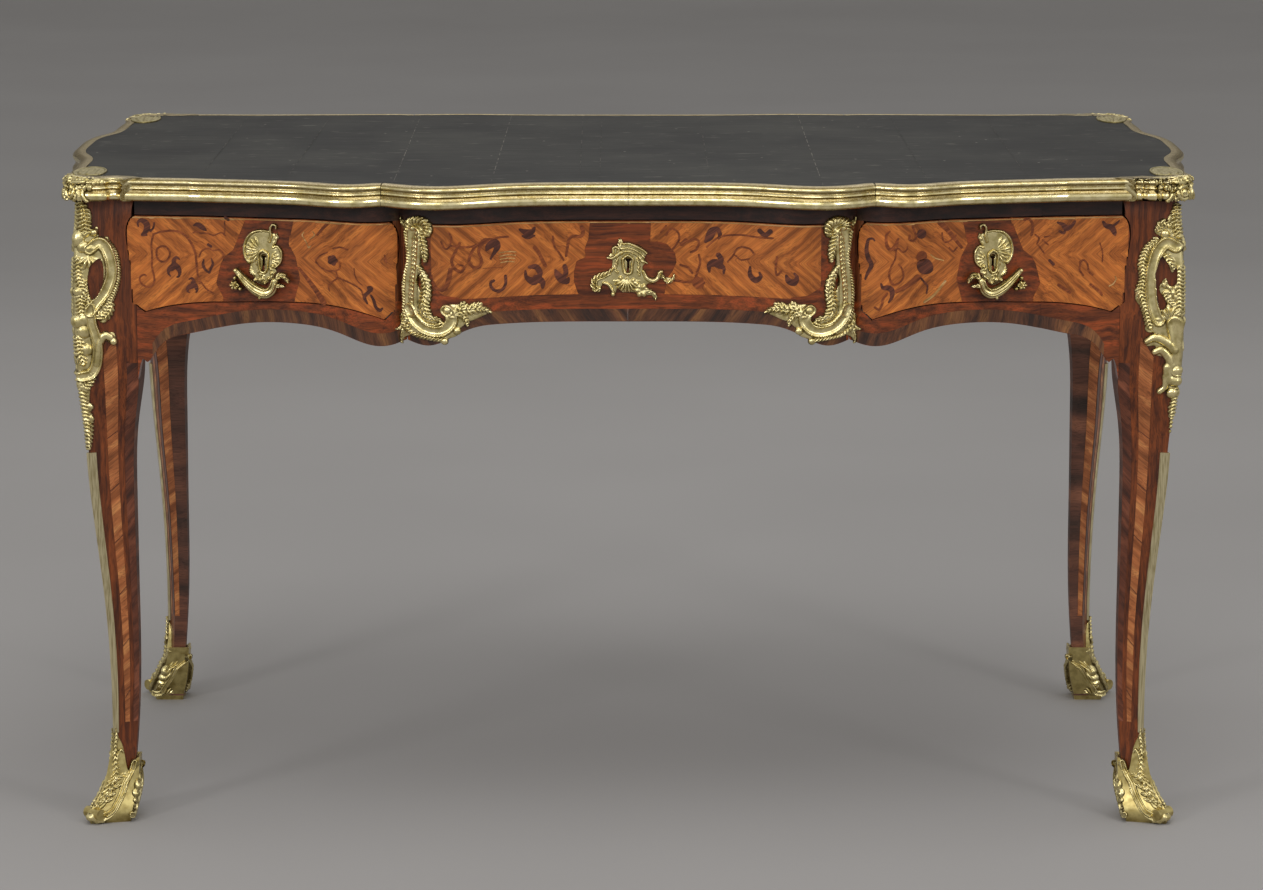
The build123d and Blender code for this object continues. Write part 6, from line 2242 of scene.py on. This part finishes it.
# ---------------------------------------------------------------------------------------------- carcass
@dataclass
class Carcass:
    """Frieze rails, aprons, false drawers of the back and the oak inside."""

    front_band: tuple[float, float] = (258.0, 557.0)
    back_band: float = 572.0
    end_band: tuple[float, float] = (-206.0, 273.0)
    margin: float = 1.6
    half_panel: float = 170.0

    FACED = ("front_apron_left", "front_apron_right", "back_apron")
    ENDS = ("side_apron_left", "side_apron_right")
    BARE = ("drawer_runners", "drawer_kickers", "top_panel")
    PARTITIONS = ("partition_left", "partition_right")

    def solids(self) -> None:
        """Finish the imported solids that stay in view."""
        nodes = frame["nodes"]
        AMARANTH.dress(*(nodes[name] for name in self.FACED))
        replace(AMARANTH, grain=Grain.DEEP).dress(*(nodes[name] for name in self.ENDS))
        # the front rail gets wood darkened to paint the rim's shadow
        SHADED_RAIL_WOOD.dress(nodes["front_top_rail"])
        OAK.dress(*(nodes[name] for name in self.BARE + self.PARTITIONS))
        for name in self.PARTITIONS:
            dress_faces(nodes[name], AMARANTH_UPRIGHT, lambda normals: normals[:, 1] < -0.6)
        for side in ("left", "centre", "right"):
            OAK.dress(nodes[f"{side}_drawer_box"], nodes[f"{side}_drawer_bottom"])
            LOCK_BRASS.dress(nodes[f"{side}_lock_case"], nodes[f"{side}_lock_bolt"])

    def crossbands(self, front: Face, back: Face) -> None:
        """Kingwood bands along the lower edges of the aprons.

        Args:
            front: front of the frieze.
            back: back of the frieze.
        """
        for side, way in SIDES:
            edge = Silhouette(f"front_apron_{side}")
            low, high = sorted(way * end for end in self.front_band)
            inlay = Inlay([Rail(edge, BAND_LOW, BAND_HIGH, low, high)], BAND_WOOD, turn=90 - way * 12, step=1.6)
            inlay.lay(f"front_crossband_{side}", front)
        edge = Silhouette("back_apron")
        for side, low, high in (("left", -self.back_band, 0.0), ("right", 0.0, self.back_band)):
            inlay = Inlay([Rail(edge, BAND_LOW, BAND_HIGH, low, high)], BAND_WOOD, turn=90, step=1.8)
            inlay.lay(f"back_crossband_{side}", back)

    def back_panels(self, back: Face) -> None:
        """Quartered panels on the false drawers of the back.

        Args:
            back: back of the frieze.
        """
        half = self.half_panel
        for name, x in (("right", SideDrawer.lock_x), ("left", -SideDrawer.lock_x)):
            outline = Silhouette(f"{name}_drawer_front", self.margin)
            far = ((x - half, -600), (x + half, -600), (x + half, -740), (x - half, -740))
            inlay = Inlay([Patch(far, smooth=False)], TULIPWOOD, turn=40, fold=(x, 684.0), within=outline, step=2.5)
            inlay.lay(f"back_panel_{name}", back)
        middle = ((-226, -650), (-210, -643), (210, -643), (226, -650), (226, -731), (-226, -731))
        inlay = Inlay([Patch(middle, smooth=False)], TULIPWOOD, turn=40, fold=(0.0, 688.0), step=2.5)
        inlay.lay("back_panel_middle", back)

    def end_panels(self) -> None:
        """Quartered panel and crossband on each end of the desk."""
        panel = ((-150, -732), (217, -732), (222, -700), (212, -650), (200, -640), (33, -634), (-133, -640),
                 (-145, -650), (-155, -700))
        for side, way in SIDES:
            edge = Silhouette(f"side_apron_{side}", 0.4, axis=1)
            face = End(f"side_apron_{side}", way)
            inlay = Inlay([Rail(edge, BAND_LOW, BAND_HIGH, *self.end_band)], BAND_WOOD, turn=90, step=1.8)
            inlay.lay(f"end_crossband_{side}", face)
            inlay = Inlay([Patch(panel, smooth=False)], TULIPWOOD, turn=40, fold=(33.5, 686.0), step=2.5)
            inlay.lay(f"end_panel_{side}", face)

    def build(self, front: Face, back: Face) -> None:
        """Dress the carcass.

        Args:
            front: front of the frieze.
            back: back of the frieze.
        """
        self.solids()
        self.crossbands(front, back)
        self.back_panels(back)
        self.end_panels()


# ---------------------------------------------------------------------------------------------- studio
@dataclass
class Studio:
    """Paper floor, soft lamps and the camera."""

    lens: float = 115.47
    distance: float = 4.9665
    eye: float = 1.370
    aside: float = 0.0038
    tilt: float = 79.03
    sensor: float = 36.0
    sky_colour: str = "E4E4E3"
    sky_strength: float = 0.72
    paper: tuple[float, float, float] = (-12.0, 11.0, 9.0)
    paper_half: float = 14.0
    sweep: float = 3.0

    LAMPS = (  # name, place, aim, size, watts
        ("overhead", (0.3, -1.0, 3.4), (0, 0, 0.6), (3.2, 2.0), 40.0),
        ("front_cloth", (-0.8, -4.4, 3.0), (0, 0, 0.6), (2.6, 1.6), 36.0),
        ("left_card", (-3.0, -3.2, 2.2), (0, 0, 0.4), (0.7, 1.2), 30.0),
        ("right_card", (3.0, -3.2, 2.2), (0, 0, 0.4), (0.7, 1.2), 24.0),
        ("back_card", (0.0, 3.0, 2.6), (0, 0, 0.6), (3.0, 1.2), 14.0),
    )

    def camera(self) -> None:
        """Long lens a little over the desk, aimed slightly down."""
        data = bpy.data.cameras.new("camera")
        data.lens = self.lens
        data.sensor_width = self.sensor
        data.sensor_fit = "HORIZONTAL"
        made = bpy.data.objects.new("camera", data)
        made.location = (self.aside, -self.distance, self.eye)
        made.rotation_euler = Euler((math.radians(self.tilt), 0, 0))
        bpy.context.scene.collection.objects.link(made)
        bpy.context.scene.camera = made

    def floor(self) -> None:
        """Sheet of paper that runs back and sweeps up behind the desk."""
        near, far, top = self.paper
        turns = np.linspace(0.1, math.pi / 2, 16)
        arc = [(far + self.sweep * math.sin(a), self.sweep - self.sweep * math.cos(a)) for a in turns]
        rows = [(near, 0.0), (far, 0.0), *arc, (far + self.sweep, top)]
        points = np.array([(x, y, z) for y, z in rows for x in (-self.paper_half, self.paper_half)]) / MM
        quads = np.array([(2 * n, 2 * n + 1, 2 * n + 3, 2 * n + 2) for n in range(len(rows) - 1)])
        sheet = new_mesh("paper_floor", points, quads, np.array([0, 0, 1.0]))
        PAPER.dress(sheet)

    def lamps(self) -> None:
        """Large soft lamps overhead and in front, and weaker ones round the desk."""
        for name, place, aim, size, power in self.LAMPS:
            data = bpy.data.lights.new(name, "AREA")
            data.shape = "RECTANGLE"
            data.size, data.size_y = size
            data.energy = power
            made = bpy.data.objects.new(name, data)
            made.location = place
            made.rotation_euler = (Vector(aim) - Vector(place)).to_track_quat("-Z", "Y").to_euler()
            bpy.context.scene.collection.objects.link(made)

    def sky(self) -> None:
        """Even grey light from all round."""
        world = bpy.data.worlds.new("studio")
        world.use_nodes = True
        background = world.node_tree.nodes["Background"]
        background.inputs["Color"].default_value = srgb(self.sky_colour)
        background.inputs["Strength"].default_value = self.sky_strength
        bpy.context.scene.world = world

    def build(self) -> None:
        """Set the studio."""
        bpy.context.scene.view_settings.view_transform = "Standard"
        self.camera()
        self.floor()
        self.lamps()
        self.sky()


def main() -> None:
    """Build the desk's looks in order."""
    logging.basicConfig(level=logging.INFO, format="%(name)s: %(message)s")
    Studio().build()
    front = Frieze("front_top_rail", FRIEZE_LEVEL, -1)
    back = Frieze("back_apron", FRIEZE_LEVEL, 1)
    DeskTop().build()
    LegDress().build()
    Carcass().build(front, back)
    left, right, centre = SideDrawer("left", -1), SideDrawer("right", 1), CentreDrawer()
    left.build(front, left_inlays())
    right.build(front, right_inlays())
    centre.build(front, centre_inlays())
    left.castings(back, "root", "back_left", ("back_mounts",), pierced=False)
    right.castings(back, "root", "back_right", (), pierced=False)
    centre.castings(back, "root", "back_centre", (), pierced=False)


if __name__ == "__main__":
    main()
